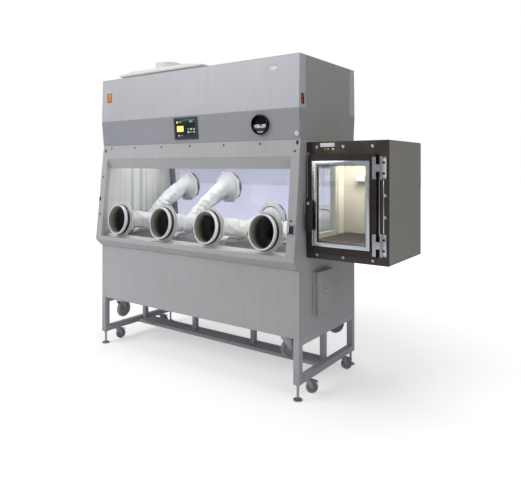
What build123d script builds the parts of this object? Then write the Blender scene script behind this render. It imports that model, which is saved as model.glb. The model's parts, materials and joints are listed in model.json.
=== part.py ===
from build123d import *

# Two-sided class III biosafety cabinet on a stand, with a pass-through airlock on its right end.
# All sizes are in millimetres. +Z is up, the front faces -Y and the airlock is on the +X side.
# The origin is on the floor, under the middle of the whole footprint.

import os
from math import atan2, cos, degrees, hypot, pi, radians, sin, tan

os.makedirs("parts", exist_ok=True)

# Cabinet body
body_width = 1800.0
body_half_depth = 372.0
body_bottom = 362.0
apron_top = 767.0
sheet = 2.0
corner_flange = 33.0
panel_gap = 1.0
seat_gap = 0.3

# Sill below each window
sill_low_z = 776.0
sill_low_y = 387.0
sill_wall = 2.5
sill_back = 330.0

# Window frames, which lean back towards the top
window_tilt = 6.0
frame_top_z = 1540.0
frame_top_y = 356.0
frame_foot_z = 819.0
frame_depth = 38.0
frame_opening_low = 849.0
frame_opening_high = 1441.0
glass_sight_low = 852.0
glass_sight_high = 1369.0
frame_post = 59.0
glass_thickness = 8.0
glass_lap = 22.0
glass_gap = 0.3

# Glove ports
port_x = (-665.0, -210.0, 210.0, 665.0)
port_low_z = 983.0
port_high_z = 1219.0
port_collar_rx = 97.0
port_collar_ry = 108.0
port_collar_wall = 4.0
port_collar_out = 46.0
port_collar_in = 22.0
port_flange_width = 240.0
port_flange_height = 250.0
port_flange_corner = 70.0
port_seat_ring = 12.0
port_flange_thickness = 5.0
port_hole_gap = 1.0
clamp_width = 20.0
clamp_thickness = 3.0
clamp_angle = 35.0

# Gauntlets: thin sleeves that end in hands on the work tray
gauntlet_wall = 2.5
wrist_radius = 42.0
cuff_cover = 28.0
cuff_gap = 0.3
fingertip_z = 862.0

# Chamber
chamber_half_width = 868.0
chamber_plate = 3.0
chamber_floor_z = 822.0
chamber_ceiling_z = 1480.0
floor_lip_z = 864.0
lip_gap = 4.0
tray_height = 18.0
tray_margin = 26.0

# Top housing
housing_top = 2048.0
housing_bend_z = 1727.5
housing_foot_z = 1541.0
housing_top_y = 364.0
housing_bend_y = 374.0
housing_foot_y = 357.0
fascia_flange = 76.0

# Exhaust hood and duct spigot
hood_left = -846.0
hood_right = 25.0
hood_half_depth = 246.0
hood_inset = 20.0
hood_foot_height = 42.0
hood_lip = 10.0
hood_top_z = 2154.0
hood_top_right = -247.0
hood_top_half_depth = 115.0
hood_wall = 2.0
spigot_x = -547.0
spigot_radius = 100.0
spigot_top_z = 2200.0

# Airlock
airlock_width = 514.0
airlock_front = 285.0
airlock_back = 237.0
airlock_low = 835.0
airlock_high = 1525.0
airlock_wall = 32.0
airlock_plate = 6.0
airlock_end_plate = 4.0
liner_wall = 3.0
airlock_opening_left = 938.0
airlock_opening_right = 1336.0
airlock_opening_low = 889.0
airlock_opening_high = 1435.0
shelf_z = 916.0
shelf_height = 24.0
shelf_bar = 6.0
shelf_pitch = 26.0

# Airlock door, its latch and hinges
door_left = 923.0
door_right = 1351.0
door_low = 874.0
door_high = 1450.0
door_thickness = 22.0
door_gap = 1.5
door_trim_left = 961.0
door_trim_right = 1315.0
door_trim_low = 913.0
door_trim_high = 1412.0
door_trim_width = 25.0
door_glass_thickness = 8.0
door_glass_lap = 10.0
door_trim_out = 3.0
door_corner_radius = 14.0
hinge_low_z = 948.0
hinge_high_z = 1371.0
hinge_height = 122.0
hinge_pin_x = 1376.0
hinge_pin_out = 13.0
hinge_pin_radius = 5.0
hinge_knuckle_radius = 9.0
hinge_running_gap = 0.3
hinge_pin_end = 4.0
hinge_leaf_width = 46.0
hinge_leaf_thickness = 4.0
hinge_foot_width = 28.0
hinge_foot_thickness = 6.0
latch_z = 1163.0
latch_x = 943.0
latch_shaft_radius = 7.0
latch_hub_radius = 13.0
lever_width = 44.0
lever_drop = 164.0
lever_thickness = 14.0
lever_clear = 15.0
keeper_width = 20.0
keeper_height = 90.0
keeper_out = 36.0
keeper_z = 1136.0

# Inner door between chamber and airlock
inner_door_front = -245.0
inner_door_back = 86.0
inner_door_low = 944.0
inner_door_high = 1434.0
inner_door_thickness = 14.0
inner_opening_margin = 16.0
inner_hinge_radius = 7.0
inner_pin_radius = 3.5

# Side hatch
hatch_front = -197.0
hatch_back = -10.0
hatch_low = 470.0
hatch_high = 735.0
hatch_out = 37.0
hatch_hinge_y = -212.0
hatch_pin_radius = 3.0
hatch_knuckle_radius = 6.0
hatch_latch_y = -98.0
hatch_latch_z = 608.0
hatch_latch_radius = 14.0
hatch_shaft_radius = 5.0
hatch_rebate = 12.0

# Lamp, filters and blower above the chamber
lamp_half_length = 600.0
lamp_half_width = 35.0
lamp_height = 26.0
supply_filter_half = 580.0
exhaust_filter_half = 400.0
exhaust_filter_top = 1850.0
blower_x = 470.0
blower_z = 1780.0
blower_radius = 165.0
blower_width = 200.0
blower_wall = 4.0
blower_inlet_radius = 88.0
blower_shaft_radius = 8.0
blower_wheel_radius = 132.0
blower_blade_length = 120.0
blower_blades = 16

# Display, gauge and switch on the front fascia
display_x = -8.0
display_z = 1641.0
display_width = 215.0
display_height = 150.0
display_out = 9.0
gauge_x = 622.0
gauge_z = 1638.0
gauge_radius = 62.0
gauge_out = 24.0
pointer_length = 44.0
pointer_pin_radius = 1.5
pointer_rest = 40.0
gauge_bore = 57.0
switch_y = -332.0
switch_z = 1782.0
switch_width = 30.0
switch_height = 62.0

# Stand
leg_size = 40.0
leg_foot_plate = 4.0
tube_wall = 2.0
leg_foot_z = 94.5
rail_height = 40.0
beam_width = 40.0
beam_height = 22.5
beam_gap = 7.0
beam_y = 25.0
post_size = 34.0
post_x = (-843.0, -280.0, 280.0, 843.0)

# Levelling feet
foot_stud_radius = 8.0
foot_pad_radius = 28.0
foot_pad_height = 14.0
foot_nut_radius = 13.0
foot_nut_height = 12.0

# Small braked casters under the side rails
small_wheel_radius = 37.5
small_wheel_width = 24.0
small_caster_y = 235.0
small_caster_lift = 3.5
small_caster_trail = 24.0

small_mount_radius = 20.0
small_mount_height = 6.0
small_head_radius = 19.0
caster_pin_radius = 6.0
caster_axle_radius = 4.0
caster_gap = 0.3
fork_sheet = 3.0
small_swivel = {(-1, -1): 70.0, (1, -1): 35.0, (-1, 1): 60.0, (1, 1): 30.0}

# Large transport casters under the body
large_mount_radius = 38.0
large_mount_height = 8.0
large_head_radius = 33.0
large_swivel = {(-1, -1): 95.0, (1, -1): 35.0, (-1, 1): 120.0, (1, 1): 60.0}
large_wheel_radius = 62.5
large_wheel_width = 32.0
large_caster_x = 765.0
large_caster_y = 300.0
large_caster_drop = 155.0
large_caster_trail = 30.0

# Values worked out from the driving dimensions
mid = -(airlock_width - foot_pad_radius + leg_size / 2) / 2
half_width = body_width / 2
end_x = mid + half_width
left_x = mid - half_width
tilt = radians(window_tilt)
sides = (-1, 1)


def face_y(z):
    """How far a window frame's outer face stands from the middle of the cabinet at a height."""
    return frame_top_y + (frame_top_z - z) * tan(tilt)


def face_plane(side, depth=0.0):
    """A plane on a window frame's outer face, or a depth behind it: x to the right, y up the slope.

    side is -1 for the front and 1 for the back, each seen from outside.
    """
    outward = Vector(0, side * cos(tilt), sin(tilt))
    origin = Vector(mid, side * frame_top_y, frame_top_z) - outward * depth
    return Plane(origin=origin, x_dir=(-side, 0, 0), z_dir=outward)


def up_slope(z):
    """Where a height lies along a face plane's y."""
    return (z - frame_top_z) / cos(tilt)


def block(x0, x1, y0, y1, z0, z1, mode=Mode.ADD):
    """Add or cut a plain bar or plate between two corners."""
    with Locations(((x0 + x1) / 2, (y0 + y1) / 2, (z0 + z1) / 2)):
        Box(abs(x1 - x0), abs(y1 - y0), abs(z1 - z0), mode=mode)


def save(piece, name):
    """Label a finished piece and write its file."""
    piece.part.label = name
    export_step(piece.part, "parts/" + name + ".step")


# Stand: two welded end frames of square tube, each with two legs and two rails
def square_tube(plane, size_x, size_y, length):
    """Extrude a hollow rectangular tube from a plane."""
    with BuildSketch(plane) as section:
        Rectangle(size_x, size_y)
        Rectangle(size_x - 2 * tube_wall, size_y - 2 * tube_wall, mode=Mode.SUBTRACT)
    extrude(section.sketch, amount=length)


leg_y = body_half_depth - leg_size / 2
leg_length = body_bottom - leg_foot_z
rail_length = 2 * leg_y - leg_size
for end, end_name in ((-1, "left"), (1, "right")):
    leg_x = mid + end * (half_width - leg_size / 2)
    tubes = []
    for side in sides:
        with BuildPart() as leg:
            square_tube(Plane((leg_x, side * leg_y, leg_foot_z)), leg_size, leg_size, leg_length)
            with BuildSketch(Plane((leg_x, side * leg_y, leg_foot_z))):
                Rectangle(leg_size, leg_size)
                Circle(foot_stud_radius + seat_gap, mode=Mode.SUBTRACT)
            extrude(amount=leg_foot_plate)
        tubes.append(leg.part)
    for rail_z in (leg_foot_z + rail_height / 2, body_bottom - rail_height / 2):
        with BuildPart() as rail:
            start = Plane((leg_x, -rail_length / 2, rail_z), x_dir=(1, 0, 0), z_dir=(0, 1, 0))
            square_tube(start, leg_size, rail_height, rail_length)
        tubes.append(rail.part)
    end_frame = Compound(children=tubes)
    end_frame.label = "stand_end_" + end_name
    export_step(end_frame, "parts/stand_end_" + end_name + ".step")

# Footrest between the end frames: three flat tubes, with four posts up to the body
beam_length = 2 * (half_width - leg_size)
beam_pitch = beam_width + beam_gap
rest_pieces = []
for row in (-1, 0, 1):
    with BuildPart() as beam:
        start = Plane(
            (mid - beam_length / 2, beam_y + row * beam_pitch, leg_foot_z + beam_height / 2),
            x_dir=(0, 1, 0),
            z_dir=(1, 0, 0),
        )
        square_tube(start, beam_width, beam_height, beam_length)
    rest_pieces.append(beam.part)
post_foot = leg_foot_z + beam_height
for x in post_x:
    with BuildPart() as post:
        square_tube(Plane((mid + x, beam_y, post_foot)), post_size, post_size, body_bottom - post_foot)
    rest_pieces.append(post.part)
footrest = Compound(children=rest_pieces)
footrest.label = "footrest"
export_step(footrest, "parts/footrest.step")

# Levelling feet: a stud with its lock nut on a round pad, one under each leg
foot_reach = 30.0
feet = []
for end in sides:
    for side in sides:
        with BuildPart() as foot:
            with BuildSketch(Plane.XZ) as outline:
                with BuildLine():
                    Polyline(
                        (0, 0),
                        (foot_pad_radius, 0),
                        (foot_pad_radius, foot_pad_height / 2),
                        (foot_pad_radius / 2, foot_pad_height),
                        (foot_stud_radius, foot_pad_height + 2),
                        (foot_stud_radius, leg_foot_z + foot_reach),
                        (0, leg_foot_z + foot_reach),
                        close=True,
                    )
                make_face()
            revolve(axis=Axis.Z)
            with BuildSketch(Plane.XY.offset(leg_foot_z - foot_nut_height)) as nut:
                RegularPolygon(foot_nut_radius, 6)
            extrude(nut.sketch, amount=foot_nut_height)
        foot_x = mid + end * (half_width - leg_size / 2)
        feet.append(foot.part.moved(Location((foot_x, side * leg_y, 0))))
levelling_feet = Compound(children=feet)
levelling_feet.label = "levelling_feet"
export_step(levelling_feet, "parts/levelling_feet.step")


# Casters: a fixed round mount, a swivelling fork with its axle, and a wheel with a rubber tyre
def caster_mount(radius, height):
    """A round mount with the kingpin's hole, its top at z = 0."""
    with BuildPart() as mount:
        with Locations((0, 0, -height / 2)):
            Cylinder(radius, height)
            Cylinder(caster_pin_radius + caster_gap, height, mode=Mode.SUBTRACT)
        chamfer(mount.edges().filter_by(GeomType.CIRCLE).group_by(Axis.Z)[0].sort_by(Edge.length)[-1], 1.5)
    return mount.part


def caster_fork(head_radius, mount_height, wheel_radius, wheel_width, trail, drop, pedal):
    """A fork that hangs from z = 0, with its wheel's axle out along +x."""
    head_top = -mount_height - caster_gap
    axle_z = -drop + wheel_radius
    head_low = axle_z + wheel_radius + 2
    inner = wheel_width / 2 + 1.5
    with BuildPart() as fork:
        with BuildSketch(Plane.XY.offset(head_top)) as head:
            Circle(head_radius)
        extrude(head.sketch, amount=head_low - head_top)
        with BuildSketch(Plane.XY.offset(head_low)) as pin:
            Circle(caster_pin_radius)
        extrude(pin.sketch, amount=-head_low)
        with BuildSketch(Plane.XZ.offset(inner)) as cheek:
            with BuildLine():
                Polyline(
                    (-head_radius * 0.85, head_low),
                    (head_radius * 0.85, head_low),
                    (trail + 11, axle_z),
                    (trail, axle_z - 11),
                    (trail - 11, axle_z),
                    close=True,
                )
            make_face()
            fillet(cheek.vertices().sort_by(Axis.Y)[:3], 4)
        extrude(cheek.sketch, amount=fork_sheet)
        mirror(about=Plane.XZ)
        with Locations(Location((trail, 0, axle_z), (90, 0, 0))):
            Cylinder(caster_axle_radius, 2 * (inner + fork_sheet + 4))
        if pedal:
            with BuildSketch(Plane.XZ) as arm:
                with BuildLine():
                    Polyline(
                        (head_radius * 0.6, head_low + 4),
                        (head_radius + 12, head_low + 4),
                        (head_radius + 42, head_low - 6),
                        (head_radius + 41, head_low - 10),
                        (head_radius + 12, head_low),
                        (head_radius * 0.6, head_low),
                        close=True,
                    )
                make_face()
            extrude(arm.sketch, amount=13, both=True)
    return fork.part


def caster_wheel(wheel_radius, wheel_width, trail, drop):
    """A wheel on the fork's axle."""
    rim = wheel_radius * 0.72
    bore = caster_axle_radius + caster_gap
    with BuildPart() as wheel:
        with BuildSketch(Plane.XZ) as half:
            with BuildLine():
                Polyline(
                    (bore, -wheel_width / 2),
                    (bore + 7, -wheel_width / 2),
                    (bore + 8, -wheel_width / 5),
                    (rim - 4, -wheel_width / 5),
                    (rim, -wheel_width * 0.42),
                    (wheel_radius - 4, -wheel_width * 0.42),
                    (wheel_radius, -wheel_width / 5),
                    (wheel_radius, wheel_width / 5),
                    (wheel_radius - 4, wheel_width * 0.42),
                    (rim, wheel_width * 0.42),
                    (rim - 4, wheel_width / 5),
                    (bore + 8, wheel_width / 5),
                    (bore + 7, wheel_width / 2),
                    (bore, wheel_width / 2),
                    close=True,
                )
            make_face()
        revolve(axis=Axis.Z)
    return wheel.part.moved(Location((trail, 0, -drop + wheel_radius), (90, 0, 0)))


def place_caster(solid, x, y, z, swivel):
    """Put a caster piece under its mount, turned to its swivel angle."""
    return solid.moved(Location((x, y, z), (0, 0, swivel)))


small_drop = leg_foot_z - small_caster_lift
small_x = half_width - leg_size / 2
caster_sets = (
    ("small", small_x, small_caster_y, leg_foot_z, small_swivel),
    ("large", large_caster_x, large_caster_y, body_bottom, large_swivel),
)
mounts = []
for size, x, y, z, swivels in caster_sets:
    if size == "small":
        mount = caster_mount(small_mount_radius, small_mount_height)
        fork = caster_fork(small_head_radius, small_mount_height, small_wheel_radius,
                           small_wheel_width, small_caster_trail, small_drop, True)
        wheel = caster_wheel(small_wheel_radius, small_wheel_width, small_caster_trail, small_drop)
    else:
        mount = caster_mount(large_mount_radius, large_mount_height)
        fork = caster_fork(large_head_radius, large_mount_height, large_wheel_radius,
                           large_wheel_width, large_caster_trail, large_caster_drop, False)
        wheel = caster_wheel(large_wheel_radius, large_wheel_width, large_caster_trail, large_caster_drop)
    for (end, side), swivel in swivels.items():
        corner = ("front" if side < 0 else "back") + ("_left" if end < 0 else "_right")
        where = (mid + end * x, side * y, z, swivel)
        mounts.append(place_caster(mount, *where))
        for piece, kind in ((fork, "fork"), (wheel, "wheel")):
            placed = place_caster(piece, *where)
            placed.label = size + "_" + kind + "_" + corner
            export_step(placed, "parts/" + placed.label + ".step")
caster_mounts = Compound(children=mounts)
caster_mounts.label = "caster_mounts"
export_step(caster_mounts, "parts/caster_mounts.step")

# Cabinet body: a base pan, two side panels, two aprons and the sills above them
with BuildPart() as base_pan:
    block(left_x + sheet, end_x - sheet, -body_half_depth + sheet, body_half_depth - sheet,
          body_bottom, body_bottom + 2 * sheet)
save(base_pan, "base_pan")

opening_front = inner_door_front + inner_opening_margin
opening_back = inner_door_back - inner_opening_margin
opening_low = inner_door_low + inner_opening_margin
opening_high = inner_door_high - inner_opening_margin


def end_outline(inset):
    """The cabinet's outline seen from one end, from the base to the top of the window frames."""
    half = (
        (body_half_depth - inset, body_bottom),
        (body_half_depth - inset, apron_top),
        (sill_low_y - inset, sill_low_z),
        (face_y(frame_foot_z) - inset, frame_foot_z),
        (frame_top_y - inset, frame_top_z),
    )
    return half + tuple((-y, z) for y, z in reversed(half))


for end, end_name in ((-1, "left"), (1, "right")):
    outside = mid + end * half_width
    with BuildPart() as side_panel:
        with BuildSketch(Plane.YZ.offset(outside)) as outline:
            with BuildLine():
                Polyline(*end_outline(0.0), close=True)
            make_face()
        extrude(outline.sketch, amount=-end * sheet)
        for side in sides:
            block(outside, outside - end * corner_flange, side * body_half_depth,
                  side * (body_half_depth - sheet), body_bottom + 2 * sheet, apron_top - sheet)
        if end > 0:
            block(outside, outside - sheet, opening_front, opening_back, opening_low,
                  opening_high, Mode.SUBTRACT)
            block(outside, outside - sheet, hatch_front + hatch_rebate, hatch_back - hatch_rebate,
                  hatch_low + hatch_rebate, hatch_high - hatch_rebate, Mode.SUBTRACT)
            hatch_pin_x = outside + sheet + hatch_knuckle_radius + 0.5
            hatch_quarter = (hatch_high - hatch_low) / 4
            block(outside - sheet, outside + sheet, hatch_hinge_y - 14, hatch_hinge_y + 6,
                  hatch_low, hatch_high)
            for low in (hatch_low, hatch_high - hatch_quarter):
                block(outside, hatch_pin_x, hatch_hinge_y - 4, hatch_hinge_y + 4, low, low + hatch_quarter)
                with Locations((hatch_pin_x, hatch_hinge_y, low + hatch_quarter / 2)):
                    Cylinder(hatch_knuckle_radius, hatch_quarter)
            with Locations((hatch_pin_x, hatch_hinge_y, (hatch_low + hatch_high) / 2)):
                Cylinder(hatch_pin_radius, hatch_high - hatch_low)
    save(side_panel, "side_panel_" + end_name)

apron_half = half_width - corner_flange - panel_gap
for side, side_name in ((-1, "front"), (1, "back")):
    front = side * body_half_depth
    with BuildPart() as apron:
        block(mid - apron_half, mid + apron_half, front, front - side * 10 * sheet,
              body_bottom + 2 * sheet + seat_gap, apron_top - seat_gap)
        rear_face = apron.faces().sort_by(Axis.Y)[-1 if side < 0 else 0]
        offset(amount=-sheet, openings=rear_face)
    save(apron, "apron_" + side_name)

sill_pieces = []
for side in sides:
    with BuildPart() as sill:
        with BuildSketch(Plane.YZ.offset(left_x + sheet)) as outline:
            with BuildLine():
                Polyline(
                    (side * (face_y(frame_foot_z) - 1), frame_foot_z - seat_gap),
                    (side * (sill_low_y - 1), sill_low_z),
                    (side * (body_half_depth - 1), apron_top),
                    (side * sill_back, apron_top),
                    (side * sill_back, frame_foot_z - seat_gap),
                    close=True,
                )
            make_face()
            offset(amount=-sill_wall, mode=Mode.SUBTRACT)
        extrude(outline.sketch, amount=body_width - 2 * sheet)
    sill_pieces.append(sill.part)
sills = Compound(children=sill_pieces)
sills.label = "sills"
export_step(sills, "parts/sills.step")

# Window frames: a ring on each slope, bevelled in to the glass
post_inner = half_width - frame_post
for side, side_name in ((-1, "front"), (1, "back")):
    with BuildPart() as frame_ring:
        with BuildSketch(face_plane(side)) as outer:
            with Locations((0, (up_slope(frame_foot_z) + up_slope(frame_top_z)) / 2)):
                Rectangle(body_width - 2 * sheet, up_slope(frame_top_z) - up_slope(frame_foot_z))
        extrude(outer.sketch, amount=-frame_depth)
        with BuildSketch(face_plane(side)) as wide:
            with Locations((0, (up_slope(frame_opening_low) + up_slope(frame_opening_high)) / 2)):
                Rectangle(2 * post_inner, up_slope(frame_opening_high) - up_slope(frame_opening_low))
        with BuildSketch(face_plane(side, frame_depth)) as narrow:
            with Locations((0, (up_slope(glass_sight_low) + up_slope(glass_sight_high)) / 2)):
                Rectangle(2 * post_inner, up_slope(glass_sight_high) - up_slope(glass_sight_low))
        loft([wide.sketch.faces()[0], narrow.sketch.faces()[0]], mode=Mode.SUBTRACT)
        block(left_x, end_x, side * sill_back, side * 2 * sill_back, frame_foot_z - frame_depth,
              frame_foot_z, Mode.SUBTRACT)
    save(frame_ring, "window_frame_" + side_name)

# Window panes behind the frames, with a round-cornered hole for each glove port
port_heights = {-1: (port_low_z,) * 4, 1: (port_low_z, port_low_z, port_high_z, port_high_z)}
pane_depth = frame_depth + glass_gap
pane_low = up_slope(glass_sight_low) - glass_lap
pane_high = up_slope(glass_sight_high) + glass_lap
pane_half = post_inner + glass_lap


def port_places(side):
    """Where the ports' centres lie on a face plane, from left to right as seen from outside."""
    return [(x, up_slope(z)) for x, z in zip(port_x, port_heights[side])]


panes = []
for side in sides:
    with BuildPart() as pane:
        with BuildSketch(face_plane(side, pane_depth)) as outline:
            with Locations((0, (pane_low + pane_high) / 2)):
                Rectangle(2 * pane_half, pane_high - pane_low)
            with Locations(*port_places(side)):
                Ellipse(port_collar_rx + port_hole_gap, port_collar_ry + port_hole_gap, mode=Mode.SUBTRACT)
        extrude(outline.sketch, amount=-glass_thickness)
    panes.append(pane.part)
window_panes = Compound(children=panes)
window_panes.label = "window_panes"
export_step(window_panes, "parts/window_panes.step")

# Chamber: a stainless box of plates between the two windows
chamber_depth = pane_depth + glass_thickness + glass_gap


def chamber_y(z):
    """How far the chamber reaches from the middle of the cabinet at a height."""
    return face_y(z) - chamber_depth / cos(tilt)


chamber_x0 = mid - chamber_half_width
chamber_x1 = mid + chamber_half_width
walls = []
for end, wall_x in ((-1, chamber_x0), (1, chamber_x1)):
    with BuildPart() as end_wall:
        with BuildSketch(Plane.YZ.offset(wall_x)) as outline:
            with BuildLine():
                Polyline(
                    (-chamber_y(chamber_floor_z), chamber_floor_z),
                    (chamber_y(chamber_floor_z), chamber_floor_z),
                    (chamber_y(chamber_ceiling_z), chamber_ceiling_z),
                    (-chamber_y(chamber_ceiling_z), chamber_ceiling_z),
                    close=True,
                )
            make_face()
        extrude(outline.sketch, amount=-end * chamber_plate)
        if end > 0:
            block(wall_x + 1, wall_x - chamber_plate - 1, opening_front, opening_back, opening_low,
                  opening_high, Mode.SUBTRACT)
    walls.append(end_wall.part)
inner_x0 = chamber_x0 + chamber_plate
inner_width = 2 * (chamber_half_width - chamber_plate)
ceiling_reach = chamber_y(chamber_ceiling_z)
lip_inset = port_flange_thickness + lip_gap
with BuildPart() as ceiling:
    block(inner_x0, inner_x0 + inner_width, -ceiling_reach, ceiling_reach,
          chamber_ceiling_z - chamber_plate, chamber_ceiling_z)
walls.append(ceiling.part)
floor_top = chamber_floor_z + chamber_plate
with BuildPart() as floor_pan:
    with BuildSketch(Plane.YZ.offset(inner_x0)) as outline:
        with BuildLine():
            Polyline(
                (-chamber_y(chamber_floor_z), chamber_floor_z),
                (chamber_y(chamber_floor_z), chamber_floor_z),
                (chamber_y(floor_top), floor_top),
                (chamber_y(floor_top) - lip_inset, floor_top),
                (chamber_y(floor_lip_z) - lip_inset, floor_lip_z),
                (chamber_y(floor_lip_z) - lip_inset - chamber_plate, floor_lip_z),
                (chamber_y(floor_top) - lip_inset - chamber_plate, floor_top),
                (-chamber_y(floor_top) + lip_inset + chamber_plate, floor_top),
                (-chamber_y(floor_lip_z) + lip_inset + chamber_plate, floor_lip_z),
                (-chamber_y(floor_lip_z) + lip_inset, floor_lip_z),
                (-chamber_y(floor_top) + lip_inset, floor_top),
                (-chamber_y(floor_top), floor_top),
                close=True,
            )
        make_face()
    extrude(outline.sketch, amount=inner_width)
walls.append(floor_pan.part)
chamber_shell = Compound(children=walls)
chamber_shell.label = "chamber_shell"
export_step(chamber_shell, "parts/chamber_shell.step")

# Work tray on the chamber floor, with a raised rim
tray_low = chamber_floor_z + chamber_plate
tray_half_width = chamber_half_width - tray_margin
tray_half_depth = chamber_y(tray_low + tray_height) - tray_margin
tray_rim = 12.0
tray_rim_height = 6.0
with BuildPart() as work_tray:
    block(mid - tray_half_width, mid + tray_half_width, -tray_half_depth, tray_half_depth,
          tray_low, tray_low + tray_height)
    block(mid - tray_half_width + tray_rim, mid + tray_half_width - tray_rim,
          -tray_half_depth + tray_rim, tray_half_depth - tray_rim,
          tray_low + tray_height - tray_rim_height, tray_low + tray_height, Mode.SUBTRACT)
save(work_tray, "work_tray")

# Glove ports: an octagonal flange on each side of the pane, joined by an oval collar
collars = []
bands = []
for side in sides:
    for x, y in port_places(side):
        with BuildPart() as collar:
            with BuildSketch(face_plane(side, pane_depth + glass_thickness + glass_gap)) as flange:
                with Locations((x, y)):
                    Rectangle(port_flange_width, port_flange_height)
                chamfer(flange.vertices(), port_flange_corner)
                with Locations((x, y)):
                    Ellipse(port_collar_rx - 1, port_collar_ry - 1, mode=Mode.SUBTRACT)
            extrude(flange.sketch, amount=-port_flange_thickness)
            with BuildSketch(face_plane(side, frame_depth)) as seat_ring:
                with Locations((x, y)):
                    Ellipse(port_collar_rx + port_seat_ring, port_collar_ry + port_seat_ring)
                    Ellipse(port_collar_rx - 1, port_collar_ry - 1, mode=Mode.SUBTRACT)
            extrude(seat_ring.sketch, amount=port_flange_thickness)
            with BuildSketch(face_plane(side, frame_depth - port_collar_out)) as tube:
                with Locations((x, y)):
                    Ellipse(port_collar_rx, port_collar_ry)
                    Ellipse(port_collar_rx - port_collar_wall, port_collar_ry - port_collar_wall,
                            mode=Mode.SUBTRACT)
            extrude(tube.sketch, amount=-port_collar_out - glass_thickness - 2 * glass_gap - port_collar_in)
        collars.append(collar.part)
port_collars = Compound(children=collars)
port_collars.label = "port_collars"
export_step(port_collars, "parts/port_collars.step")

# Clamp bands around the cuffs, each with a toggle on its side
band_gap = 0.3
cuff_outer = cuff_gap + gauntlet_wall
for side in sides:
    for x, y in port_places(side):
        band_rx = port_collar_rx + cuff_outer + band_gap
        band_ry = port_collar_ry + cuff_outer + band_gap
        band_depth = frame_depth - port_flange_thickness - 1
        with BuildPart() as band:
            with BuildSketch(face_plane(side, band_depth)) as ring:
                with Locations((x, y)):
                    Ellipse(band_rx + clamp_thickness, band_ry + clamp_thickness)
                    Ellipse(band_rx, band_ry, mode=Mode.SUBTRACT)
            extrude(ring.sketch, amount=clamp_width)
            with BuildSketch(face_plane(side, band_depth)) as toggle:
                with Locations((x - (band_rx + 7) * cos(radians(clamp_angle)),
                                y - (band_ry + 7) * sin(radians(clamp_angle)))):
                    Rectangle(14, 34, rotation=clamp_angle)
                with Locations((x, y)):
                    Ellipse(band_rx, band_ry, mode=Mode.SUBTRACT)
            extrude(toggle.sketch, amount=clamp_width)
        bands.append(band.part)
clamp_bands = Compound(children=bands)
clamp_bands.label = "clamp_bands"
export_step(clamp_bands, "parts/clamp_bands.step")


# Gauntlets: each cuff folds over its collar, and the sleeve runs in to a hand on the tray
def section(points, index, radius_x, radius_y):
    """An ellipse across the sleeve's route at one of its points."""
    before = Vector(points[max(index - 1, 0)])
    after = Vector(points[min(index + 1, len(points) - 1)])
    across = Plane(origin=points[index], x_dir=(1, 0, 0), z_dir=(after - before).normalized())
    with BuildSketch(across) as ellipse:
        Ellipse(radius_x, radius_y)
    return ellipse.sketch.faces()[0]


def port_ellipse(plane, x, y, radius_x, radius_y):
    """An ellipse on a plane across a port."""
    with BuildSketch(plane) as ellipse:
        with Locations((x, y)):
            Ellipse(radius_x, radius_y)
    return ellipse.sketch.faces()[0]


def gauntlet(side, x, y, route):
    """A hollow sleeve from a port's collar, with a closed hand at its end."""
    mouth = face_plane(side, frame_depth - port_collar_out)
    in_rx = port_collar_rx - port_collar_wall - cuff_gap
    in_ry = port_collar_ry - port_collar_wall - cuff_gap
    out_rx = port_collar_rx + cuff_outer
    out_ry = port_collar_ry + cuff_outer
    throat = port_collar_out + glass_thickness + port_collar_in
    throat_plane = face_plane(side, frame_depth - port_collar_out + throat)
    centre = throat_plane.from_local_coords((x, y, 0))
    with BuildPart() as sleeve:
        with BuildSketch(face_plane(side, frame_depth - port_collar_out - gauntlet_wall)) as roll:
            with Locations((x, y)):
                Ellipse(out_rx, out_ry)
        extrude(roll.sketch, amount=-gauntlet_wall)
        with BuildSketch(mouth) as fold:
            with Locations((x, y)):
                Ellipse(out_rx, out_ry)
                Ellipse(out_rx - gauntlet_wall, out_ry - gauntlet_wall, mode=Mode.SUBTRACT)
        extrude(fold.sketch, amount=-cuff_cover)
        with BuildSketch(mouth) as tube:
            with Locations((x, y)):
                Ellipse(in_rx, in_ry)
        extrude(tube.sketch, amount=-throat)
        points = [tuple(centre)] + [tuple(mid_point) for mid_point, _ in route]
        sizes = [(in_rx, in_ry)] + [size for _, size in route]
        outer = [section(points, i, *size) for i, size in enumerate(sizes)]
        outer[0] = port_ellipse(throat_plane, x, y, in_rx, in_ry)
        loft(outer, ruled=True)
        hollow = len(sizes) - 2
        inner = [section(points, i, a - gauntlet_wall, b - gauntlet_wall)
                 for i, (a, b) in enumerate(sizes[:hollow])]
        inner[0] = port_ellipse(throat_plane, x, y, in_rx - gauntlet_wall, in_ry - gauntlet_wall)
        loft(inner, ruled=True, mode=Mode.SUBTRACT)
        with BuildSketch(face_plane(side, frame_depth - port_collar_out - gauntlet_wall)) as bore:
            with Locations((x, y)):
                Ellipse(in_rx - gauntlet_wall, in_ry - gauntlet_wall)
        extrude(bore.sketch, amount=-throat - gauntlet_wall, mode=Mode.SUBTRACT)
    return sleeve.part


wrist = (wrist_radius, wrist_radius)
palm = (46.0, 24.0)
tips = (38.0, 12.0)
palm_z = fingertip_z + 16
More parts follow.
